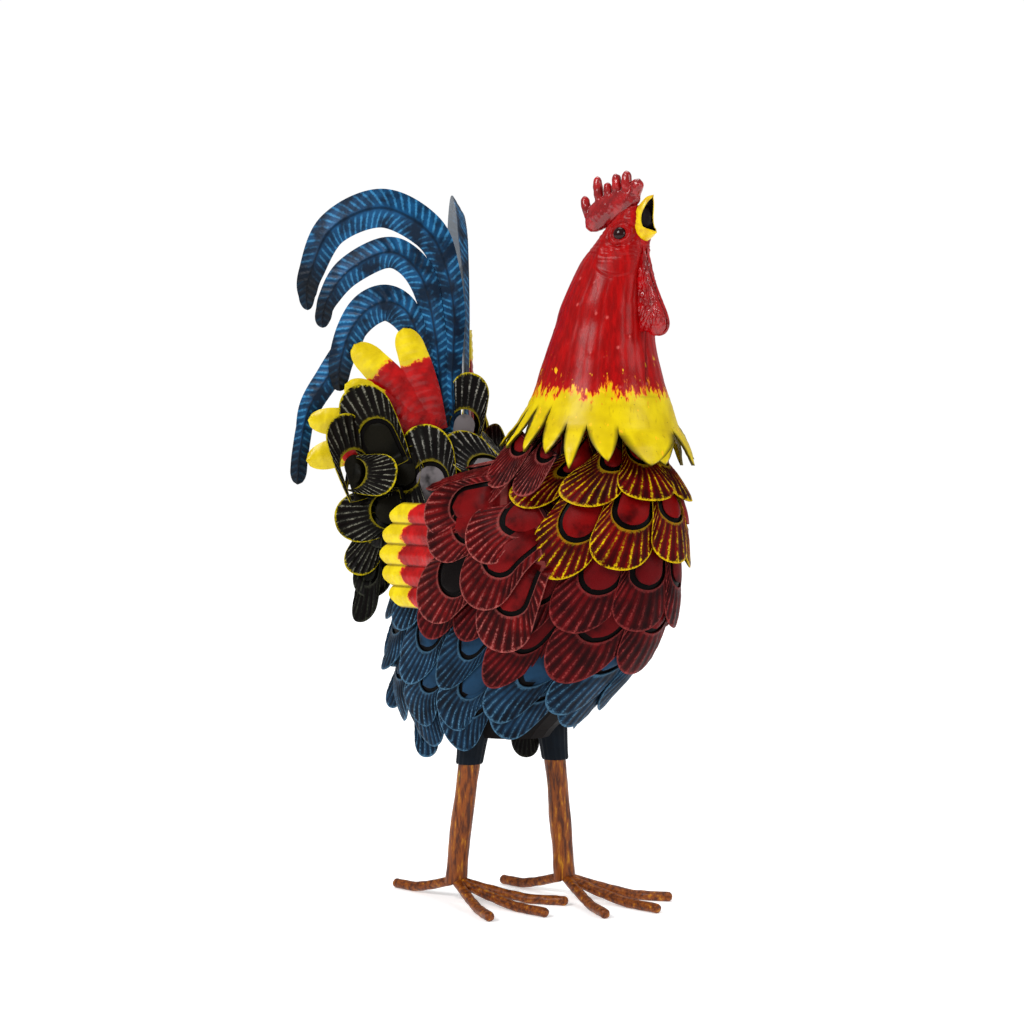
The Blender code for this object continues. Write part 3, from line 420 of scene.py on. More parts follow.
class Part:
    """Collects the sheets and lofts of one piece."""

    def __init__(self, name):
        self.name = name
        self.points = []
        self.faces = []
        self.values = {}
        self.count = 0

    def add(self, points, faces, **values):
        points = np.reshape(points, (-1, 3))
        self.points.append(points)
        self.faces.extend([tuple(i + self.count for i in face) for face in faces])
        for key in {**self.values, **values}:
            column = self.values.setdefault(key, [np.zeros(self.count)])
            column.append(np.broadcast_to(np.ravel(values.get(key, 0.0)), (len(points),)))
        self.count += len(points)

    def add_sheet(self, top, under, faces, **values):
        """A thin sheet; the faces are those of its top, and each value holds for its top and underside."""
        count = np.size(top) // 3
        both = {key: np.tile(np.ravel(v), 2) if np.ndim(v) else v for key, v in values.items()}
        self.add(np.vstack([top, under]), thicken(faces, count), back=np.repeat([0.0, 1.0], count), **both)

    def add_tube(self, rings, first_cap=True, **values):
        """A form through rings of points, closed at its last ring and, with first_cap, at its first."""
        sides = len(rings[0])
        last = (len(rings) - 1) * sides
        faces = grid_faces(len(rings), sides, wrap=True)
        if first_cap:
            faces.append(tuple(range(sides)))
        faces.append(tuple(range(last, last + sides)))
        self.add(np.vstack(rings), faces, **values)

    def make(self, materials, slot, replaces=(), sharp=38.0, pick=None):
        """Builds the piece; edges above sharp degrees stay sharp, and pick gives each face its material."""
        mesh = bpy.data.meshes.new(self.name)
        points = (np.vstack(self.points) + SHIFT) * MM
        mesh.from_pydata(points.tolist(), [], self.faces)
        work = bmesh.new()
        work.from_mesh(mesh)
        bmesh.ops.recalc_face_normals(work, faces=work.faces)
        work.to_mesh(mesh)
        work.free()
        for key, column in self.values.items():
            layer = mesh.attributes.new(key, "FLOAT", "POINT")
            layer.data.foreach_set("value", np.concatenate(column).astype(np.float32))
        piece = bpy.data.objects.new(self.name, mesh)
        bpy.context.collection.objects.link(piece)
        for made in materials if isinstance(materials, list) else [materials]:
            mesh.materials.append(made)
        if pick is not None:
            mesh.polygons.foreach_set("material_index", pick)
        mesh.polygons.foreach_set("use_smooth", [True] * len(mesh.polygons))
        mesh.set_sharp_from_angle(angle=math.radians(sharp))
        mesh.update()
        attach(piece, "root")
        if replaces:
            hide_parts(*replaces)
        return piece


# Feather plates

def feather_outline(half_width, length):
    """Half width of a plate as a function of the distance from its tip, and where it is widest."""
    widest = 1.05 * half_width

    def outline(y):
        low = half_width * np.sqrt(np.clip(1.0 - (1.0 - np.minimum(y / widest, 1.0)) ** 2, 0.0, 1.0)) ** 0.92
        return np.where(y < widest, low, half_width * (1.0 - 0.22 * ((y - widest) / (length - widest)) ** 2))
    return outline, widest


def fan_edge(outline, widest, top, s):
    """Points along the outer edge of the fan, evenly spaced from the tip; s runs from -1 to 1."""
    y = np.concatenate([widest * (1 - np.cos(np.linspace(0, math.pi / 2, 60))),
                        np.linspace(widest, max(top, widest + 1), 30)[1:]])
    x = outline(y)
    run = np.concatenate([[0], np.cumsum(np.hypot(np.diff(x), np.diff(y)))])
    along = np.abs(s) * run[-1]
    return np.stack([np.interp(along, run, x) * np.sign(s), np.interp(along, run, y)], 1)


def feather_sheet(half_width, length, closed):
    """A flat feather with a U-shaped slot: points (across, from the tip), faces and its pattern values."""
    tongue = TONGUE_SHARE * half_width
    outer_slot = tongue + SLOT_WIDTH
    centre = FAN_LENGTH + outer_slot
    top = min(centre + SLOT_ARM, length - 3.0)
    outline, widest = feather_outline(half_width, length)
    steps = RIBS * RIB_STEPS + 1
    s = np.linspace(-1.0, 1.0, steps)
    outer = fan_edge(outline, widest, top, s)
    arc = outer_slot * math.pi / 2
    travel = np.abs(s) * (arc + max(top - centre, 0.5))
    turn = np.minimum(travel / outer_slot, math.pi / 2)
    flat, values = [], []

    def add_row(x, y, s_row, r, kind):
        flat.append(np.stack([x, y + 0 * x], 1))
        values.append(np.stack([s_row, np.full(len(x), r), np.full(len(x), kind)], 1))

    def slot_edge(radius):
        x = radius * np.sin(turn) * np.sign(s)
        return x, centre - radius * np.cos(turn) + np.maximum(travel - arc, 0.0)
    inner = np.stack(slot_edge(outer_slot), 1)
    for r in BAND_RADII:
        add_row(*(inner + (outer - inner) * r).T, s, r, FAN)
    faces = grid_faces(len(BAND_RADII), steps)
    tongue_start = steps * len(BAND_RADII)
    across = np.linspace(-1, 1, TONGUE_COLUMNS)
    rows = np.concatenate([np.linspace(top, centre, 4), centre - tongue * np.sin(np.linspace(0.2, 1.52, 7))])
    for y in rows:
        width = tongue * math.sqrt(max(1 - (max(centre - y, 0.0) / tongue) ** 2, 0.0))
        add_row(across * width, y, across, (top - y) / (top - centre + tongue), TONGUE)
    faces += grid_faces(len(rows), TONGUE_COLUMNS, tongue_start)
    start = tongue_start + TONGUE_COLUMNS * len(rows)
    # A closed slot gets a sunk sheet across it, painted near black as painted shade.
    if closed:
        for radius in (tongue - 1.0, outer_slot + 1.2):
            add_row(*slot_edge(radius), s, 0.0, SLOT_SHADE_SHEET)
        faces += grid_faces(2, steps, start)
        start += 2 * steps
    # The root of the plate joins the fan and the tongue
    left = [n * steps for n in reversed(range(len(BAND_RADII)))]
    right = [n * steps + steps - 1 for n in range(len(BAND_RADII))]
    seam = left + [tongue_start + j for j in range(TONGUE_COLUMNS)] + right
    joined = np.vstack(flat)[seam, 0]
    for y in np.linspace(top, length, 4)[1:]:
        add_row(joined * outline(y) / abs(joined[0]), y, joined / half_width, 0.0, ROOT_PLATE)
    index = seam + list(range(start, start + 3 * len(seam)))
    faces += [tuple(index[i] for i in face) for face in grid_faces(4, len(seam))]
    return np.vstack(flat), faces, np.vstack(values).T


def feather_relief(s, r, kind):
    """Ribs, raised rims of the fan, a crowned tongue and a sunk sheet across the slot, painted near black as
    painted shade.
    """
    ridge = (0.5 + 0.5 * np.cos(math.pi * RIBS * (s + 1))) ** 1.4
    fade = step_up(r, 0.0, 0.3) * (1 - step_up(r, 0.9, 1.0)) * (1 - step_up(np.abs(s), 0.78, 0.95))
    rims = 0.45 * step_up(r, 0.82, 0.97) + 0.35 * (1 - step_up(r, 0.0, 0.12))
    crowned = 1.2 * (1 - s**2) * step_up(r, 0.0, 0.5)
    return np.select([kind == FAN, kind == TONGUE, kind == SLOT_SHADE_SHEET],
                     [RIB_HEIGHT * ridge * fade + rims, crowned, -SHEET - 0.25], 0.0)


def add_feather(part, place, half_width, length, crown=2.0, lift=0.0, closed=True, hollow=0.0):
    """place(x, y, h) takes arrays: across, from the tip toward the root, and outward."""
    flat, faces, (s, r, kind) = feather_sheet(half_width, length, closed)
    x, y = flat.T
    height = feather_relief(s, r, kind) + crown * (1 - (x / half_width) ** 2) * (1 - 0.5 * y / length)
    height = height + lift * np.clip(1 - y / (1.6 * FAN_LENGTH), 0, 1) ** 1.6
    part.add_sheet(place(x, y, height), place(x, y, height - SHEET), faces,
                   s=s, r=r, kind=kind, seed=RANDOM.uniform(), hollow=hollow)


def add_free_feather(part, tip, root, outward, half_width, turn=0.0, bend=4.0, closed=False):
    """A feather between two points; turn rolls it about its own length, bend curls its tip outward."""
    tip, root, outward = (np.asarray(v, float) for v in (tip, root, outward))
    length = float(np.linalg.norm(root - tip))
    axis = (root - tip) / length
    across = np.cross(outward, axis)
    across /= np.linalg.norm(across)
    normal = np.cross(axis, across)
    roll = math.radians(turn)
    across, normal = (across * math.cos(roll) + normal * math.sin(roll),
                      normal * math.cos(roll) - across * math.sin(roll))

    def place(x, y, h):
        out = h + bend * np.clip(1 - y / BEND_LENGTH, 0.0, 1.0) ** 2
        return tip + y[:, None] * axis + x[:, None] * across + out[:, None] * normal
    add_feather(part, place, half_width, length, crown=1.6, closed=closed)


def add_mirrored(part, side, feathers, bend=4.0):
    """Free feathers that are given for the right side."""
    mirror = np.array([1.0, -side, 1.0])
    for tip, root, outward, half_width in feathers:
        add_free_feather(part, tip * mirror, root * mirror, outward * mirror, half_width,
                         bend=bend, closed=True)


# Coat and wings

def coat_paint(row, degrees):
    """Paint of a coat feather that stands so many degrees from the front."""
    for limit, paint in COAT_PAINTS[min(row, len(COAT_PAINTS) - 1)]:
        if degrees < limit:
            return paint


def make_coat(paints):
    for row, (count, phase, *_) in enumerate(COAT_ROWS):
        parts = {}
        for number in range(count):
            share = (number + phase) / count
            degrees = abs((share * 360.0 + 180.0) % 360.0 - 180.0)
            paint = coat_paint(row, degrees)
            part = parts.setdefault(paint, Part(f"feathers_{row + 1}_{paint}"))
            add_coat_feather(part, row, number, share, degrees)
        for number, (paint, part) in enumerate(parts.items()):
            part.make(paints[paint], SLOTS[paint], [f"coat_row_{row + 1}"] if number == 0 else ())


def add_coat_feather(part, row, number, share, degrees):
    count, _, front_tip, side_tip, rear_tip, length = COAT_ROWS[row]
    turn = math.tau * share
    before, behind = max(math.cos(turn), 0.0), max(-math.cos(turn), 0.0)
    tip = side_tip + (front_tip - side_tip) * before**2 + (rear_tip - side_tip) * behind**3
    ceiling = ROOT_CEILING
    if rear_tip <= REAR_CEILING:
        ceiling += (REAR_CEILING - ROOT_CEILING) * behind**0.5
    size = min(length * (1.0 - 0.3 * behind), ceiling - tip)
    tilt = math.radians(COAT_TILT) * math.copysign(abs(math.sin(turn)) ** 1.25, math.sin(turn))
    tilt += RANDOM.uniform(-0.06, 0.06)
    lift = RANDOM.uniform(0.0, 1.6) + (5.0 * step_up(degrees, 105, 150) if row > 2 else 0.0)
    low = BACK_SINK * step_up(degrees, 88.0, 112.0) if row == 0 else 0.0
    tip += RANDOM.uniform(-2.0, 2.0)
    lean = RANDOM.uniform(-0.02, 0.02) + 0.03 * (1 if number % 2 else -1)
    around = np.linalg.norm(body_surface(np.array(share), np.array(tip + 25.0))[1]) * math.tau
    half_width = min(max(0.54 * around / count, 16.0), 25.0)

    def place(x, y, h):
        across = x * math.cos(tilt) - (y - TILT_PIVOT) * math.sin(tilt)
        upward = y * math.cos(tilt) + x * math.sin(tilt) + TILT_PIVOT * (1 - math.cos(tilt))
        out = h - 1.0 - low - ROOT_INSET * (y / max(size, 50.0)) + lean * x
        return body_points(share + across / around, tip + upward, out)
    add_feather(part, place, half_width, size, lift=lift)


def make_wings(paints):
    for side, word in SIDES:
        for name, feathers in (("wing_lower", WING_LOWER), ("wing_upper", WING_UPPER)):
            part = Part(f"feathers_{name}_{word}")
            for feather in feathers:
                add_wing_feather(part, side, *feather)
            if name == "wing_upper":
                add_mirrored(part, side, SHOULDER_FEATHERS, bend=1.0)
            part.make(paints["wing"], "wing_red", [f"{name}_{word}"])
        make_wing_tip(side, word, paints["wing_tip"])


def add_wing_feather(part, side, degrees, reach, half_width, layer, hollow):
    heading = math.radians(degrees)

    def place(x, y, h):
        far = reach - y
        ahead = far * math.cos(heading) - x * math.sin(heading)
        down = far * math.sin(heading) + x * math.cos(heading)
        sink = WING_SINK * step_up(far, 60.0, 26.0)
        out = layer + WING_SLOPE * far + h + 0.02 * x - sink
        return side_points(side, WING_SHOULDER[0] - ahead, WING_SHOULDER[1] - down, out)
    add_feather(part, place, half_width, reach - WING_ROOT, crown=2.4, lift=1.0, hollow=hollow)


def make_wing_tip(side, word, paint):
    """The fluted plate that ends the wing."""
    rows, columns = 44, WING_TIP_FLUTES * 12 + 1
    across, reach = grid(rows, columns)
    flute = (across + 1) / 2 * WING_TIP_FLUTES
    lobe = np.abs(np.sin(math.pi * (flute % 1.0))) ** 0.8
    top, low = WING_TIP_HEIGHTS
    z = top - (top - low) / WING_TIP_FLUTES * flute
    end = WING_TIP_REAR + 14.0 * (1.0 - np.sin(math.pi * flute / WING_TIP_FLUTES)) + 5.0 * (1 - lobe)
    x = WING_TIP_FRONT + (end - WING_TIP_FRONT) * reach
    out = WING_TIP_LAYER + 2.6 * lobe
    dents = 0.3 * np.sin((x + 3.0 * lobe) * math.tau / 5.0) * lobe
    part = Part(f"wing_end_{word}")
    part.add_sheet(side_points(side, x, z, out + 0.1 + dents), side_points(side, x, z, out - 1.1),
                   grid_faces(rows, columns), tip=np.abs(x - end), groove=lobe)
    part.make(paint, "wing_tip_red", [f"wing_tip_{word}"])


# Rump and belly

def make_rump(paints):
    for side, word in SIDES:
        outward = turned_axes(side, RUMP_SPLAY)[1]
        parts = {"black": Part(f"rump_feathers_{word}"), "shaded_black": Part(f"rump_dark_feathers_{word}")}
        for number, (paint, tip, root, half_width, layer, roll) in enumerate(RUMP_FEATHERS):
            ends = [plane_points(side, RUMP_SPLAY, RUMP_BACK_CENTRE, ahead, up, layer - RUMP_LEAN * up - sink)
                    for (ahead, up), sink in ((tip, 0.0), (root, RUMP_ROOT_SINK))]
            add_free_feather(parts[paint], *ends, outward, half_width, -side * roll,
                             closed=number in RUMP_CLOSED)
        parts["black"].make(paints["black"], "rump_black", [f"rump_fan_{word}"])
        parts["shaded_black"].make(paints["shaded_black"], "rump_black")
        part = Part(f"rump_collar_feathers_{word}")
        if side < 0:
            add_free_feather(part, *UPRIGHT_FEATHER)
        add_mirrored(part, side, COLLAR_FEATHERS)
        part.make(paints["silver"], "rump_black", ["rump_collar"] if side < 0 else ())


def make_belly(paints):
    parts = {}
    for paint, *feather in BELLY_FEATHERS:
        part = parts.setdefault(paint, Part(f"loose_feathers_{paint}"))
        add_free_feather(part, *feather, bend=-3.0)
    for paint, part in parts.items():
        part.make(paints[paint], SLOTS[paint])


# Tail

def make_tail(paints):
    for side, word in SIDES:
        for number, layer, path in SICKLES:
            make_sickle(side, word, number, layer, path, paints["sickle"])
        make_tail_fan(side, word, paints["tail_fan"])


def make_sickle(side, word, number, layer, path, paint):
    """An arched blade with a raised middle rib and slanting flutes on both sides of it."""
    rows, columns = 150, 17
    line = spline(path, rows)
    ahead = np.gradient(line[:, :2], axis=0)
    ahead /= np.linalg.norm(ahead, axis=1, keepdims=True)
    run = np.concatenate([[0], np.cumsum(np.hypot(*np.diff(line[:, :2], axis=0).T))])[:, None]
    share = run / run[-1]
    width = line[:, 2:3] + STEM_EXTRA * (1 - step_up(share, 0.28, 0.42))
    width = np.maximum(width, BLADE_END * step_up(share, 0.5, 0.85))
    rounding = np.clip(share - BLADE_ROUND, 0, 1) / (1 - BLADE_ROUND)
    width = width * np.sqrt(np.clip(1 - rounding**2, 0.002, 1))
    u = grid(rows, columns)[0]
    away = np.abs(u)
    x = line[:, 0:1] - ahead[:, 1:2] * width * u
    z = line[:, 1:2] + ahead[:, 0:1] * width * u
    height = SICKLE_RIDGE * np.minimum(1.0, width / 9.0 + 0.15) * (1 - away) ** 1.15 + 0.35
    if side > 0 and number == "1":
        height = height - LEFT_ROLL * u * width * step_up(share, 0.3, 0.5)
    slant = run - 0.55 * away * width
    flute = np.sin(slant * math.tau / FLUTE_LENGTH) * np.sin(math.pi * away) ** 0.5
    height = height + 0.42 * flute * np.minimum(1.0, width / 6.0) + layer * SICKLE_STEP
    top, under = (plane_points(side, TAIL_SPLAY, (*TAIL_ROOT, 0.0), x, z, out)
                  for out in (height, height - 0.9 - 0.3 * (1 - away)))
    part = Part(f"blade_{number}_{word}")
    part.add_sheet(top, under, grid_faces(rows, columns), across=u, along=share + 0 * u, run=slant)
    part.make(paint, "sickle_blue", [f"sickle_{number}_{word}"])


def make_tail_fan(side, word, paint):
    part = Part(f"tail_fan_feathers_{word}")
    rows, columns = 46, 17
    u, t = grid(rows, columns)
    profile = np.interp(t, [0, 0.35, 0.62, 0.8], [0.9, 1.1, 1.1, 1.0])
    profile = np.where(t > 0.8, np.sqrt(np.clip(1 - ((t - 0.8) / 0.2) ** 2, 0, 1)), profile)
    centre, height = TAIL_FAN_CENTRE
    for number, (degrees, reach, half_width) in enumerate(TAIL_FAN):
        heading = math.radians(degrees)
        far = reach * t
        aside = half_width * 1.12 * profile * u - 4.0 * t**2
        ahead = far * math.cos(heading) - aside * math.sin(heading)
        up = far * math.sin(heading) + aside * math.cos(heading)
        out = 0.5 + 2.2 * (1 - u**2) * np.minimum(1, 3 * t) + 0.45 * number + TAIL_FAN_LAYER
        out = out + lumps(np.stack([ahead, up, 0 * up], -1), 16.0, 40 + number) * 0.35
        out = out + 0.3 * np.sin(far * math.tau / 6.0 + 2 * u**2) * (1 - u**2)
        top, under = (plane_points(side, TAIL_SPLAY, (*TAIL_ROOT, height), ahead + centre, up, level)
                      for level in (out, out - 1.1))
        part.add_sheet(top, under, grid_faces(rows, columns), tip=reach - far, seed=RANDOM.uniform())
    part.make(paint, "tail_fan_red", [f"tail_fan_{word}"])


# Neck and head

def head_relief(points):
    """Brow, cheek, lore and ear creases of the head, outward in millimetres."""
    x, y, z = points.T
    eye = np.hypot(x - EYE_PLACE[0], (z - EYE_PLACE[1]) * 1.15)
    out = 1.3 * hill(eye, 6.8, 1.5) - 0.9 * hill(eye, 9.4, 1.3)
    for bump_x, bump_z, length, height, amount in HEAD_BUMPS:
        out = out + amount * hill(x, bump_x, length) * hill(z, bump_z, height)
    ear_x, ear_z = EAR_PLACE
    crease = z - ear_z - 0.035 * (x - ear_x - 3.0) ** 2
    out = out + (hill(crease, 1.2, 1.0) - 0.8 * hill(crease, -0.8, 1.0)) * hill(x, ear_x, 7.5)
    return out * (np.abs(y) > 3.0) + lumps(points, 3.4, 5) * step_up(z, 452.0, 466.0) * 0.35


def scatter(value):
    """A repeatable number between 0 and 1 that jumps from one whole value to the next."""
    return (np.sin(value) * 43758.5453) % 1.0


def hackles(share, height):
    """Long soft strokes with a raised lower tip, each column starting at its own height."""
    column = (share * HACKLE_COLUMNS) % HACKLE_COLUMNS
    cell = np.floor(column)
    place = height / HACKLE_LENGTH + scatter(cell * 12.9898)
    down = 1.0 - place % 1.0
    across = 2 * (column - cell) - 1
    width = 0.95 - 0.4 * step_up(down, 0.72, 1.0)
    stroke = np.clip(1 - (across / width) ** 2, 0, 1) ** 0.9 * (0.25 + 0.3 * down)
    some = scatter(cell * 78.233 + np.floor(place) * 37.719)
    highlit_tip = hill(across, 0.0, 0.3) * hill(down, 0.84, 0.055) * step_up(some, 0.3, 0.9)
    return stroke, highlit_tip, -0.1 * hill(np.abs(across), 0.97, 0.14)


def make_neck(paints):
    part = Part("neck_and_head_skin")
    top_section = NECK_SECTIONS[-1][0]
    share = np.arange(NECK_COLUMNS) / NECK_COLUMNS
    heights = np.concatenate([np.linspace(352.0, 446.0, 96), np.linspace(446.0, top_section, 70)[1:]])
    behind = step_up(-np.cos(math.tau * share), -0.35, 0.3)
    rings, strokes, seams = [], [], []
    for z in heights:
        level = np.full(NECK_COLUMNS, z)
        stroke, highlit_tip, groove = hackles(share, level)
        base = neck_points(share, level, 0.0)
        fade = (1 - step_up(z - 22.0 * behind, 436.0, 450.0)) * step_up(z, 352.0, 366.0)
        beside = (share - np.interp(z, *zip(*NECK_SEAM)) + 0.5) % 1.0 - 0.5
        seam = hill(beside * NECK_COLUMNS, 0.0, 1.1) * step_up(z, 362.0, 376.0)
        seam = seam * (1 - step_up(z, 440.0, 464.0))
        out = (HACKLE_HEIGHT * (stroke + 0.9 * highlit_tip) + groove) * fade - 0.7 * seam
        out = out + head_relief(base) * step_up(z, 438.0, 450.0) + lumps(base, 26.0, 3) * 0.45
        rings.append(neck_points(share, level, out))
        # The raised tips also carry a painted highlight in the neck paint.
        strokes.append(highlit_tip * fade)
        seams.append(seam)
    top = rings[-1]
    centre = np.array([smooth_rows(NECK_SECTIONS, top_section)[0], 0.0, CROWN_HEIGHT])
    for k in np.cos(np.linspace(0, math.pi / 2, 9)[1:]):
        k = max(k, 0.02)
        ring = centre + (top - centre) * k
        ring[:, 2] += 1.2 * math.sin(math.pi * k)
        rings.append(ring)
        strokes.append(np.zeros(NECK_COLUMNS))
        seams.append(np.zeros(NECK_COLUMNS))
    part.add_tube(rings, first_cap=False, stroke=np.concatenate(strokes), seam=np.concatenate(seams))
    add_hem(part)
    part.make(paints["neck"], "neck_red", ["neck_and_head"], sharp=50.0)


def add_hem(part):
    """The jagged lower edge of the neck: leaf points that hang over the first feathers."""
    edge = HEM_RIGHT + tuple((share + 1.0, z) for share, z in HEM_LEFT + HEM_BACK)
    for first, tip, last in zip(edge[0::2], edge[1::2], edge[2::2]):
        add_leaf(part, (*first, *tip, *last), HEM_FLARE + RANDOM.uniform(-1.2, 1.2))
    add_leaf(part, HEM_UNDER, 0.6)


def add_leaf(part, corners, flare):
    """One leaf of the hem between two notches, given as share and height of notch, tip and notch."""
    start, start_z, middle, tip, end, end_z = corners
    rows, columns = 24, 13
    u, t = grid(rows, columns)
    z = HEM_TOP - t * (HEM_TOP - tip)

    def edge(notch, notch_z):
        low = np.clip((notch_z - z) / (notch_z - tip), 0, 1)
        return middle + (notch - middle) * np.clip(1 - low**1.35, 0.0, 1.0) ** 0.85
    share = edge(start, start_z) * (1 - u) / 2 + edge(end, end_z) * (1 + u) / 2
    notch = max(start_z, end_z)
    low = np.clip((notch - z) / (notch - tip), 0, 1)
    out = flare * low + 0.9 * (1 - u**2) * low + 0.4 + 0.35 * lumps(np.stack([60 * share, z, z], -1), 7.0, 8)
    # Edges and tips of the leaf, which get painted shade in the neck paint.
    rim = step_up(np.abs(u), 0.7, 0.95) * step_up(low, 0.0, 0.2) + step_up(low, 0.9, 0.97)
    part.add_sheet(neck_points(share, z, out), neck_points(share, z, out - HEM_THICKNESS),
                   grid_faces(rows, columns), rim=np.minimum(rim, 1.0))


def remesh(piece, voxel, smooth, repeat):
    """Fuses the overlapping lofts of a piece into one smooth skin."""
    modifier = piece.modifiers.new("fuse", "REMESH")
    modifier.mode = "VOXEL"
    modifier.voxel_size = voxel * MM
    soften = piece.modifiers.new("soften", "SMOOTH")
    soften.factor = smooth
    soften.iterations = repeat
    bpy.context.view_layer.update()
    graph = bpy.context.evaluated_depsgraph_get()
    made = bpy.data.meshes.new_from_object(piece.evaluated_get(graph))
    piece.modifiers.clear()
    old = piece.data
    materials = list(old.materials)
    piece.data = made
    bpy.data.meshes.remove(old)
    made.materials.clear()
    for item in materials:
        made.materials.append(item)
    made.polygons.foreach_set("use_smooth", [True] * len(made.polygons))


def dent(piece, amount, scale, seed):
    """Pushes the skin of a piece in and out along its normals by soft lumps."""
    mesh = piece.data
    place = np.zeros(len(mesh.vertices) * 3)
    normal = np.zeros(len(mesh.vertices) * 3)
    mesh.vertices.foreach_get("co", place)
    mesh.vertex_normals.foreach_get("vector", normal)
    amounts = lumps(place.reshape(-1, 3) / MM, scale, seed) * amount * MM
    place += normal * np.repeat(amounts, 3)
    mesh.vertices.foreach_set("co", place)
    mesh.update()


def add_rod(part, path, radii, sides=14, flatten=1.0):
    """A closed rod along a path, flattened across Y."""
    along = np.gradient(path, axis=0)
    across = np.array([0.0, 1.0, 0.0])
    turn = circle(sides)[:, None]
    rings = []
    for centre, direction, radius in zip(path, along, radii):
        third = np.cross(direction, across)
        third /= np.linalg.norm(third)
        rings.append(centre + radius * (np.cos(turn) * third + np.sin(turn) * across * flatten))
    part.add_tube(rings)


def make_comb(paint):
    part = Part("comb_skin")
    t = np.linspace(0, 1, 14)
    for (tip_x, tip_z, radius), (root_x, root_z) in zip(COMB_LOBES, COMB_ROOTS):
        length = math.hypot(tip_x - root_x, tip_z - root_z)
        swell = radius * (0.92 + 0.22 * np.sin(math.pi * t) ** 2)
        end = np.sqrt(np.clip(1 - np.clip((t * (length + radius) - length) / radius, 0, 1) ** 2, 0.03, 1))
        far = t * (length + radius) / length
        path = np.stack([root_x + (tip_x - root_x) * far, 0 * t, root_z + (tip_z - root_z) * far], 1)
        add_rod(part, path, swell * end, flatten=0.95)
    x, z, radius = spline(COMB_SPINE, 26).T
    taper = np.sin(np.linspace(0.25, math.pi - 0.4, 26)) ** 0.35
    add_rod(part, np.stack([x, 0 * x, z], 1), radius * taper, sides=24, flatten=0.46)
    piece = part.make(paint, "comb_red", ["comb"])
    remesh(piece, 0.6, 0.6, 4)
    dent(piece, 0.22, 5.0, 9)


def make_beak(paints):
    """Two open troughs, yellow outside and black inside, that meet at the corners of the mouth."""
    rows, columns = 26, 25
    turn = np.linspace(0, math.pi, columns)[None, :, None]
    for name, (rim, ridge) in (("beak_upper", BEAK_UPPER), ("beak_lower", BEAK_LOWER)):
        rim = spline(rim, rows)
        ridge = spline([(x, 0.0, z) for x, z in ridge], rows)
        middle = (rim * np.array([1.0, 0.0, 1.0]))[:, None, :]
        width = (rim * np.array([0.0, 1.0, 0.0]))[:, None, :]
        deep = (ridge[:, None, :] - middle) * np.sin(turn) ** 0.8
        thin = np.clip(1.0 - BEAK_THICK / np.maximum(rim[:, 1], 0.4), 0.35, 1.0)[:, None, None]
        outer = middle + deep + width * np.cos(turn)
        inner = middle + deep * 0.82 + width * thin * np.cos(turn)
        sleeve = [outer[0] - np.array([BEAK_SLEEVE * k, 0.0, 0.0]) for k in (1.0, 0.5)]
        outer = np.vstack([np.stack(sleeve), outer])
        first = len(outer) * columns
        faces = grid_faces(len(outer), columns)
        yellow = len(faces)
        faces += [tuple(reversed(face)) for face in grid_faces(rows, columns, first)]
        faces.append(tuple(first + j for j in range(columns)))
        black = len(faces) - yellow
        for j in (0, columns - 1):
            for i in range(rows - 1):
                low, inside = (i + 2) * columns + j, first + i * columns + j
                faces.append((low, low + columns, inside + columns, inside))
        for j in range(columns - 1):
            end, inside = first - columns + j, first + (rows - 1) * columns + j
            faces.append((end, end + 1, inside + 1, inside))
        part = Part(f"{name}_horn")
        part.add(np.vstack([outer, inner]), faces)
        pick = [0] * yellow + [1] * black + [0] * (len(faces) - yellow - black)
        part.make([paints["beak"], paints["mouth"]], "beak_yellow", [name], pick=pick)


def make_throat(paint):
    """A dark mass behind the beak that closes the view into the head: painted shade for the inside of the
    mouth.
    """
    turn = circle(32)
    length, width, height = THROAT_SIZE
    rings = []
    for level in np.linspace(-1.5, 1.5, 20):
        reach = math.cos(level)
        rings.append(np.stack([THROAT[0] + length * reach * np.cos(turn), width * reach * np.sin(turn),
                               THROAT[1] + height * math.sin(level) + 0 * turn], 1))
    part = Part("throat")
    part.add_tube(rings)
    part.make(paint, "beak_yellow")


def make_wattles(paint):
    drop = list(WATTLE_FRONT)
    for x, z in reversed(WATTLE_FRONT[1:-2]):
        centre, half_length = smooth_rows(NECK_SECTIONS, z)[:2]
        drop.append((centre + half_length - 3.0, z + 2.0))
    loop = spline(drop + drop[:1], 161)[:-1]
    for side, word in SIDES:
        part = Part(f"wattle_skin_{word}")
        for direction in (1.0, -1.0):
            rings = []
            for k in np.cos(np.linspace(0.0, math.pi / 2, 30)) ** 0.8:
                x, z = (WATTLE_MIDDLE + (loop - WATTLE_MIDDLE) * max(k, 0.004)).T
                thick = WATTLE_THICK * math.sqrt(max(1 - k**3.0, 0.0)) * direction
                ring = np.stack([x, side * WATTLE_Y + thick + 0 * x, z], 1)
                pebble = np.abs(lumps(ring, 5.0, 21)) * 1.1 * step_up(z, 408.0, 420.0)
                ring[:, 1] += direction * pebble * step_up(1 - k, 0.02, 0.2)
                rings.append(ring)
            part.add_tube(rings, first_cap=False)
        part.make(paint, "comb_red", [f"wattle_{word}"], sharp=80.0)


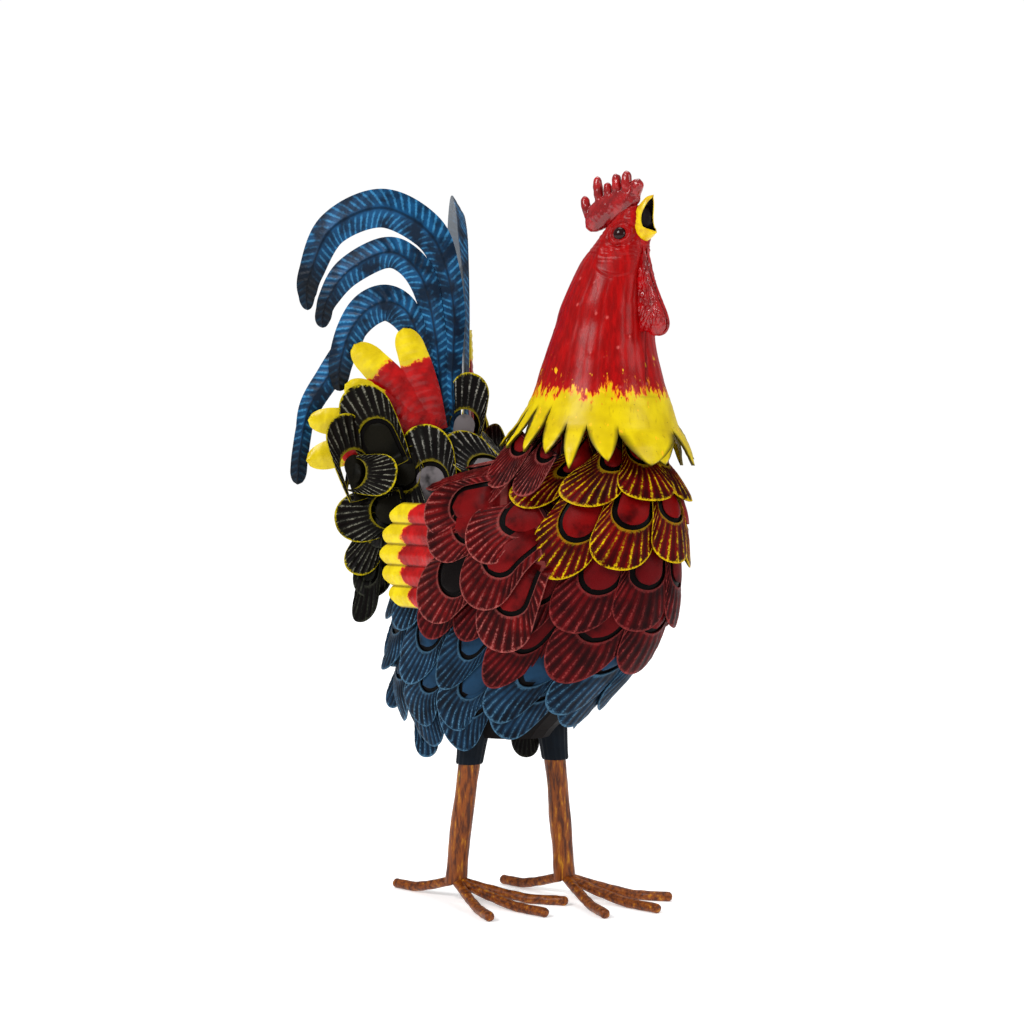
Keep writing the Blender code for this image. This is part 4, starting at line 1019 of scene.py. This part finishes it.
def make_eyes(paints):
    x, z = EYE_PLACE
    centre, half_length, half_width, _ = smooth_rows(NECK_SECTIONS, z)
    y = half_width * math.sqrt(1.0 - ((x - centre) / half_length) ** 2)
    normal = np.array([(x - centre) / half_length**2, y / half_width**2, 0.25 / half_width])
    normal /= np.linalg.norm(normal)
    first = np.cross(normal, UPWARD)
    first /= np.linalg.norm(first)
    second = np.cross(first, normal)
    turn = circle(36)[:, None]
    for side, word in SIDES:
        part = Part(f"eye_bead_{word}")
        rings = []
        for level in np.linspace(-0.35, 1.5, 16):
            flat = (first * np.cos(turn) + second * np.sin(turn)) * EYE_RADIUS * math.cos(level)
            bead = np.array([x, y, z]) + flat + normal * (0.1 + 3.0 * math.sin(level))
            rings.append(bead * np.array([1.0, side, 1.0]))
        part.add_tube(rings)
        part.make(paints["eye"], "eye_dark", [f"eye_{word}"], sharp=80.0)


# Legs and feet

def make_legs(paints):
    for side, word in SIDES:
        line = spline(LEGS[word], LEG_RINGS)
        turn = circle(40)
        rings = []
        for (x, y), z in zip(line, np.linspace(LEG_BOTTOM, LEG_TOP, LEG_RINGS)):
            ring = np.stack([x + LEG_RADIUS * np.cos(turn), y + LEG_RADIUS * np.sin(turn), z + 0 * turn], 1)
            stretched = ring * np.array([1.0, 1.0, 0.28])
            swell = lumps(stretched, 7.0, 31) * 0.035 + lumps(stretched, 3.2, 32) * 0.02
            swell = swell + 0.03 * math.cos((z - 9.0) / 24.0 * math.pi)
            ring[:, :2] += (ring[:, :2] - np.array([x, y])) * swell[:, None]
            rings.append(ring)
        part = Part(f"leg_tube_{word}")
        part.add_tube(rings, shank=1.0)
        part.make(paints["leg"], "leg_orange", [f"leg_{word}"], sharp=60.0)
        make_cuff(line, word, paints["cuff"])
        make_toes(line[0], side, word, paints["leg"])


def make_cuff(line, word, paint):
    """The dark ribbed sleeve where a leg enters the body."""
    turn = circle(60)
    rings = []
    for z, radius in CUFF_RINGS:
        x, y = line[int((z - LEG_BOTTOM) / (LEG_TOP - LEG_BOTTOM) * (LEG_RINGS - 1))]
        ribbed = radius + 0.35 * np.cos(turn * 15)
        rings.append(np.stack([x + ribbed * np.cos(turn), y + ribbed * np.sin(turn), z + 0 * turn], 1))
    part = Part(f"leg_cuff_{word}")
    part.add_tube(rings)
    part.make(paint, "coat_blue", sharp=60.0)


def make_toes(ankle, side, word, paint):
    headings = {"outer": side * TOE_SPREAD, "middle": 0.0, "inner": -side * TOE_SPREAD, "hind": 180.0}
    start = LEG_RADIUS * 0.55
    turn = circle(24)
    for number, (name, length) in enumerate(TOE_LENGTHS.items()):
        heading = math.radians(headings[name])
        ahead = np.array([math.cos(heading), math.sin(heading), 0.0])
        aside = np.array([-math.sin(heading), math.cos(heading), 0.0])
        bent = (1.0 - TOE_FLAT) * length - start
        straight = np.linspace(start, length - TOE_END, 62)
        rounded = length - TOE_END + TOE_END * np.sin(np.linspace(0.2, math.pi / 2, 6))
        rings = []
        for distance in np.concatenate([straight, rounded]):
            rise = (TOE_ROOT_HEIGHT - TOE_RADIUS) * max(0.0, 1.0 - (distance - start) / bent) ** 1.25
            end = math.sqrt(max(1 - max(0.0, (distance - length + TOE_END) / 3.05) ** 2, 0.0))
            local = np.stack([TOE_RADIUS * np.cos(turn) + 9 * number, TOE_RADIUS * np.sin(turn),
                              distance * 0.3 + 0 * turn], 1)
            radius = TOE_RADIUS * max(end, 0.08) * (1 + lumps(local, 4.0, 33) * 0.06)[:, None]
            centre = np.array([ankle[0], ankle[1], TOE_RADIUS + rise]) + ahead * distance
            ring = centre + radius * (np.cos(turn)[:, None] * aside * 1.02 + np.sin(turn)[:, None] * UPWARD)
            ring[:, 2] = np.maximum(ring[:, 2], 0.05)
            rings.append(ring)
        part = Part(f"toe_rod_{name}_{word}")
        part.add_tube(rings, shank=0.0)
        part.make(paint, "leg_orange", [f"toe_{name}_{word}"], sharp=60.0)


# Paint

def tone(red, green, blue):
    """A linear colour from the usual 0 to 255 values."""
    linear = []
    for value in (red, green, blue):
        v = value / 255.0
        linear.append(v / 12.92 if v <= 0.04045 else ((v + 0.055) / 1.055) ** 2.4)
    return (*linear, 1.0)


class Value:
    """A shader value that can be added, subtracted, multiplied and stepped."""

    def __init__(self, paint, socket):
        self.paint = paint
        self.socket = socket

    def __add__(self, other):
        return self.paint.maths("ADD", self, other)

    def __sub__(self, other):
        return self.paint.maths("SUBTRACT", self, other)

    def __mul__(self, other):
        return self.paint.maths("MULTIPLY", self, other)

    def clip(self):
        """Holds the result of the last sum between 0 and 1."""
        self.socket.node.use_clamp = True
        return self

    def step(self, low, high):
        """A smooth step from 0 at low to 1 at high."""
        node = self.paint.node("MapRange", {"Value": self, "From Min": low, "From Max": high})
        node.interpolation_type = "SMOOTHSTEP"
        return Value(self.paint, node.outputs["Result"])


class Paint:
    """Builds one procedural material."""

    def __init__(self, name, roughness, coat=0.0, shine=0.35):
        self.material = bpy.data.materials.new(name)
        self.material.use_nodes = True
        self.tree = self.material.node_tree
        self.shader = self.tree.nodes["Principled BSDF"]
        for key, value in (("Roughness", roughness), ("Metallic", 0.0), ("Coat Weight", coat),
                           ("Coat Roughness", 0.12), ("Specular IOR Level", shine)):
            self.shader.inputs[key].default_value = value
        self.place = Value(self, self.tree.nodes.new("ShaderNodeTexCoord").outputs["Object"])

    def link(self, value, socket):
        if isinstance(value, Value):
            self.tree.links.new(value.socket, socket)
        else:
            socket.default_value = value

    def node(self, kind, inputs):
        """A new shader node of a kind, with its inputs set or linked."""
        node = self.tree.nodes.new("ShaderNode" + kind)
        for key, value in inputs.items():
            self.link(value, node.inputs[key])
        return node

    def maths(self, operation, a, b=0.0):
        node = self.node("Math", {0: a, 1: b})
        node.operation = operation
        return Value(self, node.outputs[0])

    def value(self, name):
        node = self.tree.nodes.new("ShaderNodeAttribute")
        node.attribute_name = name
        return Value(self, node.outputs["Fac"])

    def axis(self, name):
        return Value(self, self.node("SeparateXYZ", {0: self.place}).outputs[name])

    def noise(self, size, detail=3.0, stretch=(1.0, 1.0, 1.0), rough=0.55):
        """Noise whose grain is about size millimetres."""
        scale = [1000.0 / (size * s) for s in stretch]
        place = Value(self, self.node("Mapping", {"Scale": scale, "Vector": self.place}).outputs[0])
        node = self.node("TexNoise", {"Scale": 1.0, "Detail": detail, "Roughness": rough, "Vector": place})
        return Value(self, node.outputs["Fac"])

    def mix(self, share, a, b):
        node = self.tree.nodes.new("ShaderNodeMix")
        node.data_type = "RGBA"
        self.link(share, node.inputs["Factor"])
        self.link(a, node.inputs["A"])
        self.link(b, node.inputs["B"])
        return Value(self, node.outputs["Result"])

    def bump(self, height, distance, strength):
        node = self.node("Bump", {"Distance": distance * MM, "Strength": strength, "Height": height})
        self.tree.links.new(node.outputs[0], self.shader.inputs["Normal"])

    def done(self, colour, roughness=None):
        self.link(colour, self.shader.inputs["Base Color"])
        if roughness is not None:
            self.link(roughness, self.shader.inputs["Roughness"])
        return self.material


def feather_paint(name, deep, middle, brushed, strength, edge=None, rim=1.0, plate=None):
    """Two tones with a third brushed dry over the ribs; edge is for the rim, plate for the middle."""
    p = Paint(name, 0.42, shine=0.05)
    s, r, kind, seed = (p.value(key) for key in ("s", "r", "kind", "seed"))
    band = p.maths("ABSOLUTE", kind - 1.0).step(0.5, 0.3)
    tongue = kind.step(1.5, 1.8) * kind.step(2.5, 2.2)
    grain = p.noise(1.5, 4.0, rough=0.65)
    cloud = p.noise(16.0)
    patch = p.noise(9.0)
    rib = p.maths("COSINE", (s + 1.0) * (math.pi * RIBS))
    rough_rib = rib + (grain - 0.5) * 2.2
    reach = r * 0.75 + cloud * 0.55
    ribs = (rough_rib.step(0.6, 1.25) * reach.step(0.25, 0.75)).clip() * patch.step(0.3, 0.58)
    ribs = (ribs * band * (seed * 0.5 + (strength - 0.25))).clip()
    worn_edge = r + (grain - 0.5) * 0.22
    rims = worn_edge.step(0.93, 0.99) * rim * patch.step(0.28, 0.45)
    rims = p.maths("MAXIMUM", rims, worn_edge.step(0.09, 0.02) * 0.25) * band
    ground = p.mix(cloud.step(0.3, 0.75), deep, middle)
    # Painted shade: the grooves between the raised ribs are darkened to near black.
    ground = p.mix(rib.step(0.2, -0.7) * band * 0.6, ground, tone(8, 2, 3))
    # Painted shade: the root plate, which lies under the next feathers, is darkened to near black.
    root = kind.step(0.6, 0.2) * 0.85
    ground = p.mix(root, ground, tone(5, 3, 4))
    glow = tongue * (r.step(0.1, 0.7) * cloud.step(0.25, 0.6))
    ground = p.mix(glow, ground, plate or middle)
    # Painted shade: the tongue and root of a marked feather are painted near black, as the shade of an open
    # hole where the tongue is missing.
    ground = p.mix(p.maths("MAXIMUM", tongue, root) * p.value("hollow"), ground, tone(6, 2, 2))
    # Painted shade: the sheet sunk across the slot is painted near black.
    ground = p.mix(kind.step(2.3, 2.6), ground, tone(3, 1, 1))
    colour = p.mix(ribs, ground, brushed)
    colour = p.mix(rims, colour, edge or brushed)
    colour = p.mix(p.value("back") * 0.55, colour, tone(22, 20, 20))
    p.bump(grain, 0.35, 0.35)
    return p.done(colour, grain * 0.25 + 0.32)


def neck_paint():
    p = Paint("neck_red_and_yellow", 0.34, 0.02, 0.14)
    z = p.axis("Z")
    streak = p.noise(3.2, 4.0, (1.0, 1.0, 5.5), 0.6)
    cloud = p.noise(18.0, 2.0)
    grain = p.noise(1.6)
    line = z + (streak - 0.5) * 0.050 + (cloud - 0.5) * 0.024
    red = p.mix(streak.step(0.35, 0.7), tone(128, 0, 1), tone(160, 2, 3))
    # Painted highlight: pale pink on the raised lower tips of the hackle strokes.
    red = p.mix(p.value("stroke").step(0.25, 0.9) * 0.45, red, tone(226, 110, 104))
    yellow = p.mix(cloud.step(0.35, 0.7), tone(190, 164, 0), tone(214, 190, 4))
    yellow = p.mix(streak.step(0.55, 0.75) * 0.6, yellow, tone(156, 124, 2))
    yellow = p.mix(p.noise(3.0, 2.0).step(0.735, 0.76) * 0.75, yellow, tone(60, 40, 12))
    orange = p.mix(line.step(0.3655, 0.3715), yellow, tone(222, 96, 16))
    colour = p.mix(line.step(0.3685, 0.3735), orange, red)
    dab = p.noise(6.0, 2.0, (1.0, 1.0, 2.0)).step(0.66, 0.70) * z.step(0.402, 0.376)
    colour = p.mix(dab, colour, tone(236, 180, 24))
    colour = p.mix(p.value("seam") * 0.6, colour, tone(50, 0, 2))
    # Painted shade: dark edges and tips of the hem leaves.
    colour = p.mix(p.value("rim") * 0.9, colour, tone(20, 12, 2))
    p.bump(grain, 0.3, 0.3)
    return p.done(colour, grain * 0.2 + 0.24)


def flesh_paint():
    p = Paint("comb_gloss_red", 0.24, 0.5, 0.3)
    grain = p.noise(2.6)
    cloud = p.noise(9.0)
    red = p.mix(cloud.step(0.3, 0.7), tone(112, 0, 3), tone(164, 3, 8))
    # Painted highlight: pale pink on the raised grains of the pebbled skin.
    colour = p.mix(grain.step(0.6, 0.72) * 0.25, red, tone(220, 80, 92))
    p.bump(grain, 0.9, 0.5)
    return p.done(colour, cloud * 0.2 + 0.16)


def horn_paint():
    p = Paint("beak_yellow_paint", 0.34, 0.1, 0.25)
    cloud = p.noise(4.0)
    colour = p.mix(cloud.step(0.35, 0.7), tone(198, 158, 0), tone(226, 196, 8))
    p.bump(cloud, 0.4, 0.4)
    return p.done(colour)


def plain_paint(name, colour, other, roughness, coat=0.0):
    p = Paint(name, roughness, coat, 0.08)
    cloud = p.noise(8.0, 4.0)
    mixed = p.mix(cloud, colour, other)
    p.bump(cloud, 0.4, 0.3)
    return p.done(mixed, cloud * 0.2 + (roughness - 0.1))


def sickle_paint():
    p = Paint("tail_blade_blue", 0.38, 0.02, 0.12)
    away = p.maths("ABSOLUTE", p.value("across"))
    grain = p.noise(1.8, 4.0, rough=0.65)
    cloud = p.noise(14.0)
    flute = p.maths("SINE", p.value("run") * (math.tau / FLUTE_LENGTH))
    brushed = flute + (grain - 0.5) * 2.6
    light = brushed.step(0.1, 1.1) * cloud.step(0.35, 0.6) * away.step(0.08, 0.3)
    deep = p.mix(cloud.step(0.35, 0.7), tone(4, 26, 46), tone(14, 70, 112))
    deep = p.mix(away.step(0.12, 0.02) * 0.7, deep, tone(6, 20, 34))
    colour = p.mix(light * 0.7, deep, tone(60, 136, 184))
    # Painted shade: the descending ends of the blades are darkened to near black.
    end = p.value("along") + (cloud - 0.5) * 0.12
    colour = p.mix(end.step(0.80, 0.95) * 0.9, colour, tone(8, 10, 12))
    colour = p.mix(p.value("back") * 0.8, colour, tone(104, 110, 116))
    p.bump(grain, 0.4, 0.4)
    return p.done(colour, grain * 0.25 + 0.26)


def tipped_paint(name, reach, wave, groove):
    """Red with an unevenly brushed yellow end; the value tip is the distance from the end."""
    p = Paint(name, 0.32, 0.08, 0.25)
    grain = p.noise(2.4, 4.0, rough=0.65)
    cloud = p.noise(10.0)
    line = p.value("tip") + (grain - 0.5) * wave + (cloud - 0.5) * wave
    red = p.mix(cloud.step(0.3, 0.7), tone(130, 0, 2), tone(182, 4, 6))
    yellow = p.mix(cloud.step(0.35, 0.7), tone(202, 176, 0), tone(226, 202, 8))
    orange = p.mix(line.step(reach - 1.6, reach), yellow, tone(226, 120, 24))
    colour = p.mix(line.step(reach - 0.6, reach + 0.8), orange, red)
    # Painted shade in the grooves between the flutes.
    if groove:
        colour = p.mix(p.value("groove").step(0.4, 0.1) * 0.6, colour, tone(60, 8, 6))
    p.bump(grain, 0.4, 0.35)
    return p.done(colour, cloud * 0.2 + 0.2)


def leg_paint():
    p = Paint("leg_orange_brown", 0.44, 0.05, 0.25)
    z = p.axis("Z")
    streak = p.noise(2.6, 4.0, (1.0, 1.0, 6.0), 0.6)
    spots = p.noise(3.4, 4.0, rough=0.65)
    strokes = p.mix(p.value("shank"), spots, streak)
    colour = p.mix(strokes.step(0.36, 0.56), tone(70, 28, 3), tone(128, 62, 6))
    colour = p.mix(strokes.step(0.56, 0.72), colour, tone(186, 124, 12))
    yellow = p.noise(4.5, 3.0, (1.0, 1.0, 4.0)).step(0.6, 0.72) * z.step(0.05, 0.1)
    colour = p.mix(yellow * 0.6, colour, tone(196, 162, 14))
    colour = p.mix(z.step(0.112, 0.13) * 0.85, colour, tone(14, 6, 3))
    p.bump(strokes, 0.9, 0.5)
    return p.done(colour, streak * 0.3 + 0.3)


def make_paints():
    gold = tone(200, 180, 10)
    feathers = {
        "yellow": ("feather_red_yellow", (46, 0, 1), (112, 4, 5), (206, 172, 2), 0.9, None, 0.85),
        "red": ("feather_dark_red", (40, 2, 4), (88, 6, 10), (156, 62, 60), 0.5, None, 0.35),
        "wing": ("feather_wing_red", (50, 3, 4), (106, 10, 12), (186, 98, 92), 0.55, None, 0.4),
        "blue": ("feather_blue", (7, 24, 38), (24, 54, 80), (90, 138, 170), 0.6, None, 0.4),
        "black": ("feather_black", (4, 4, 2), (18, 16, 9), (150, 148, 132), 0.7, gold, 0.8),
        "silver": ("feather_silver", (5, 5, 4), (26, 25, 22), (176, 174, 164), 0.85, gold, 0.8,
                   tone(112, 106, 108)),
        # Painted shade: a darker, duller copy of the black feather paint, for feathers that lie deep under
        # others and under the belly.
        "shaded_black": ("feather_shaded_black", (3, 3, 2), (14, 14, 10), (74, 76, 62), 0.5, None, 0.3),
    }
    plain = {
        "cuff": ("cuff_blue_black", (4, 7, 12), (12, 22, 32), 0.5),
        "mouth": ("mouth_black", (8, 3, 4), (20, 4, 6), 0.5),
        "eye": ("eye_brown", (40, 3, 4), (6, 2, 2), 0.16, 0.3),
        "shell": ("shell_black", (6, 5, 5), (14, 9, 9), 0.6),
    }
    paints = {key: feather_paint(name, tone(*deep), tone(*middle), tone(*brushed), *rest)
              for key, (name, deep, middle, brushed, *rest) in feathers.items()}
    paints.update({key: plain_paint(name, tone(*colour), tone(*other), *rest)
                   for key, (name, colour, other, *rest) in plain.items()})
    paints.update({
        "wing_tip": tipped_paint("wing_end_red_yellow", 19.0, 7.0, True),
        "tail_fan": tipped_paint("tail_fan_red_yellow", 27.0, 9.0, False),
        "sickle": sickle_paint(),
        "neck": neck_paint(),
        "flesh": flesh_paint(),
        "beak": horn_paint(),
        "leg": leg_paint(),
    })
    return paints


# Scene

def view_axes():
    """Level directions from the object toward the camera and to its right."""
    heading = math.radians(VIEW_HEADING)
    return (np.array([math.sin(heading), -math.cos(heading), 0.0]),
            np.array([math.cos(heading), math.sin(heading), 0.0]))


def make_camera():
    data = bpy.data.cameras.new("camera")
    data.sensor_width = 36.0
    data.lens = VIEW_FOCAL / VIEW_PIXELS * data.sensor_width
    camera = bpy.data.objects.new("camera", data)
    bpy.context.collection.objects.link(camera)
    toward = Vector(view_axes()[0])
    pitch = math.radians(VIEW_PITCH)
    camera.location = toward * VIEW_DISTANCE + Vector((SHIFT[0] * MM, 0.0, VIEW_HEIGHT))
    aim = -toward * math.cos(pitch) + Vector((0.0, 0.0, -math.sin(pitch)))
    camera.rotation_euler = aim.to_track_quat("-Z", "Y").to_euler()
    bpy.context.scene.camera = camera


def area_light(name, place, size, power):
    data = bpy.data.lights.new(name, "AREA")
    data.shape = "DISK"
    data.size = size
    data.energy = power
    lamp = bpy.data.objects.new(name, data)
    bpy.context.collection.objects.link(lamp)
    lamp.location = place
    lamp.rotation_euler = (Vector(LIGHT_TARGET) - Vector(place)).to_track_quat("-Z", "Y").to_euler()


def make_floor():
    mesh = bpy.data.meshes.new("floor")
    rows, columns = 24, 4
    toward, right = view_axes()
    across, along = grid(rows, columns)
    points = toward * (3.0 - 9.0 * along)[..., None] + right * (across * 8.0)[..., None]
    mesh.from_pydata(points.reshape(-1, 3).tolist(), [], grid_faces(rows, columns))
    floor = bpy.data.objects.new("floor", mesh)
    bpy.context.collection.objects.link(floor)
    pale = Paint("pale_floor", 0.75)
    pale.shader.inputs["Emission Color"].default_value = (1.0, 1.0, 1.0, 1.0)
    x, y = pale.axis("X"), pale.axis("Y")
    away = pale.maths("SQRT", x * x + y * y).step(0.3, 2.2)
    glow = away * (FLOOR_GLOW[1] - FLOOR_GLOW[0]) + FLOOR_GLOW[0]
    pale.link(glow, pale.shader.inputs["Emission Strength"])
    mesh.materials.append(pale.done(tone(250, 250, 250)))


def make_world():
    world = bpy.data.worlds.new("studio")
    world.use_nodes = True
    tree = world.node_tree
    background = tree.nodes["Background"]
    background.inputs["Color"].default_value = (1.0, 1.0, 1.0, 1.0)
    seen = tree.nodes.new("ShaderNodeMath")
    seen.operation = "MULTIPLY_ADD"
    tree.links.new(tree.nodes.new("ShaderNodeLightPath").outputs["Is Camera Ray"], seen.inputs[0])
    seen.inputs[1].default_value = ROOM_SEEN - ROOM_LIGHT
    seen.inputs[2].default_value = ROOM_LIGHT
    tree.links.new(seen.outputs[0], background.inputs["Strength"])
    bpy.context.scene.world = world


bpy.context.scene.view_settings.view_transform = "Standard"
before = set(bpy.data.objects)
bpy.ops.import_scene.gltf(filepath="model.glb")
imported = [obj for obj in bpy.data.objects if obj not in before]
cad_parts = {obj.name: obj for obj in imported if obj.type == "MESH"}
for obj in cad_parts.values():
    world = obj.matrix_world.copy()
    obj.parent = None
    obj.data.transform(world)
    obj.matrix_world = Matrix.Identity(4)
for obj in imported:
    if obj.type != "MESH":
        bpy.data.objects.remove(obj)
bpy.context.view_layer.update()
make_camera()
PAINTS = make_paints()
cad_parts["body_shell"].data.materials.clear()
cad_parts["body_shell"].data.materials.append(PAINTS["shell"])
make_coat(PAINTS)
make_wings(PAINTS)
make_rump(PAINTS)
make_belly(PAINTS)
make_tail(PAINTS)
make_neck(PAINTS)
make_comb(PAINTS["flesh"])
make_beak(PAINTS)
make_throat(PAINTS["mouth"])
make_wattles(PAINTS["flesh"])
make_eyes(PAINTS)
make_legs(PAINTS)
make_floor()
make_world()
for lamp in LIGHTS:
    area_light(*lamp)
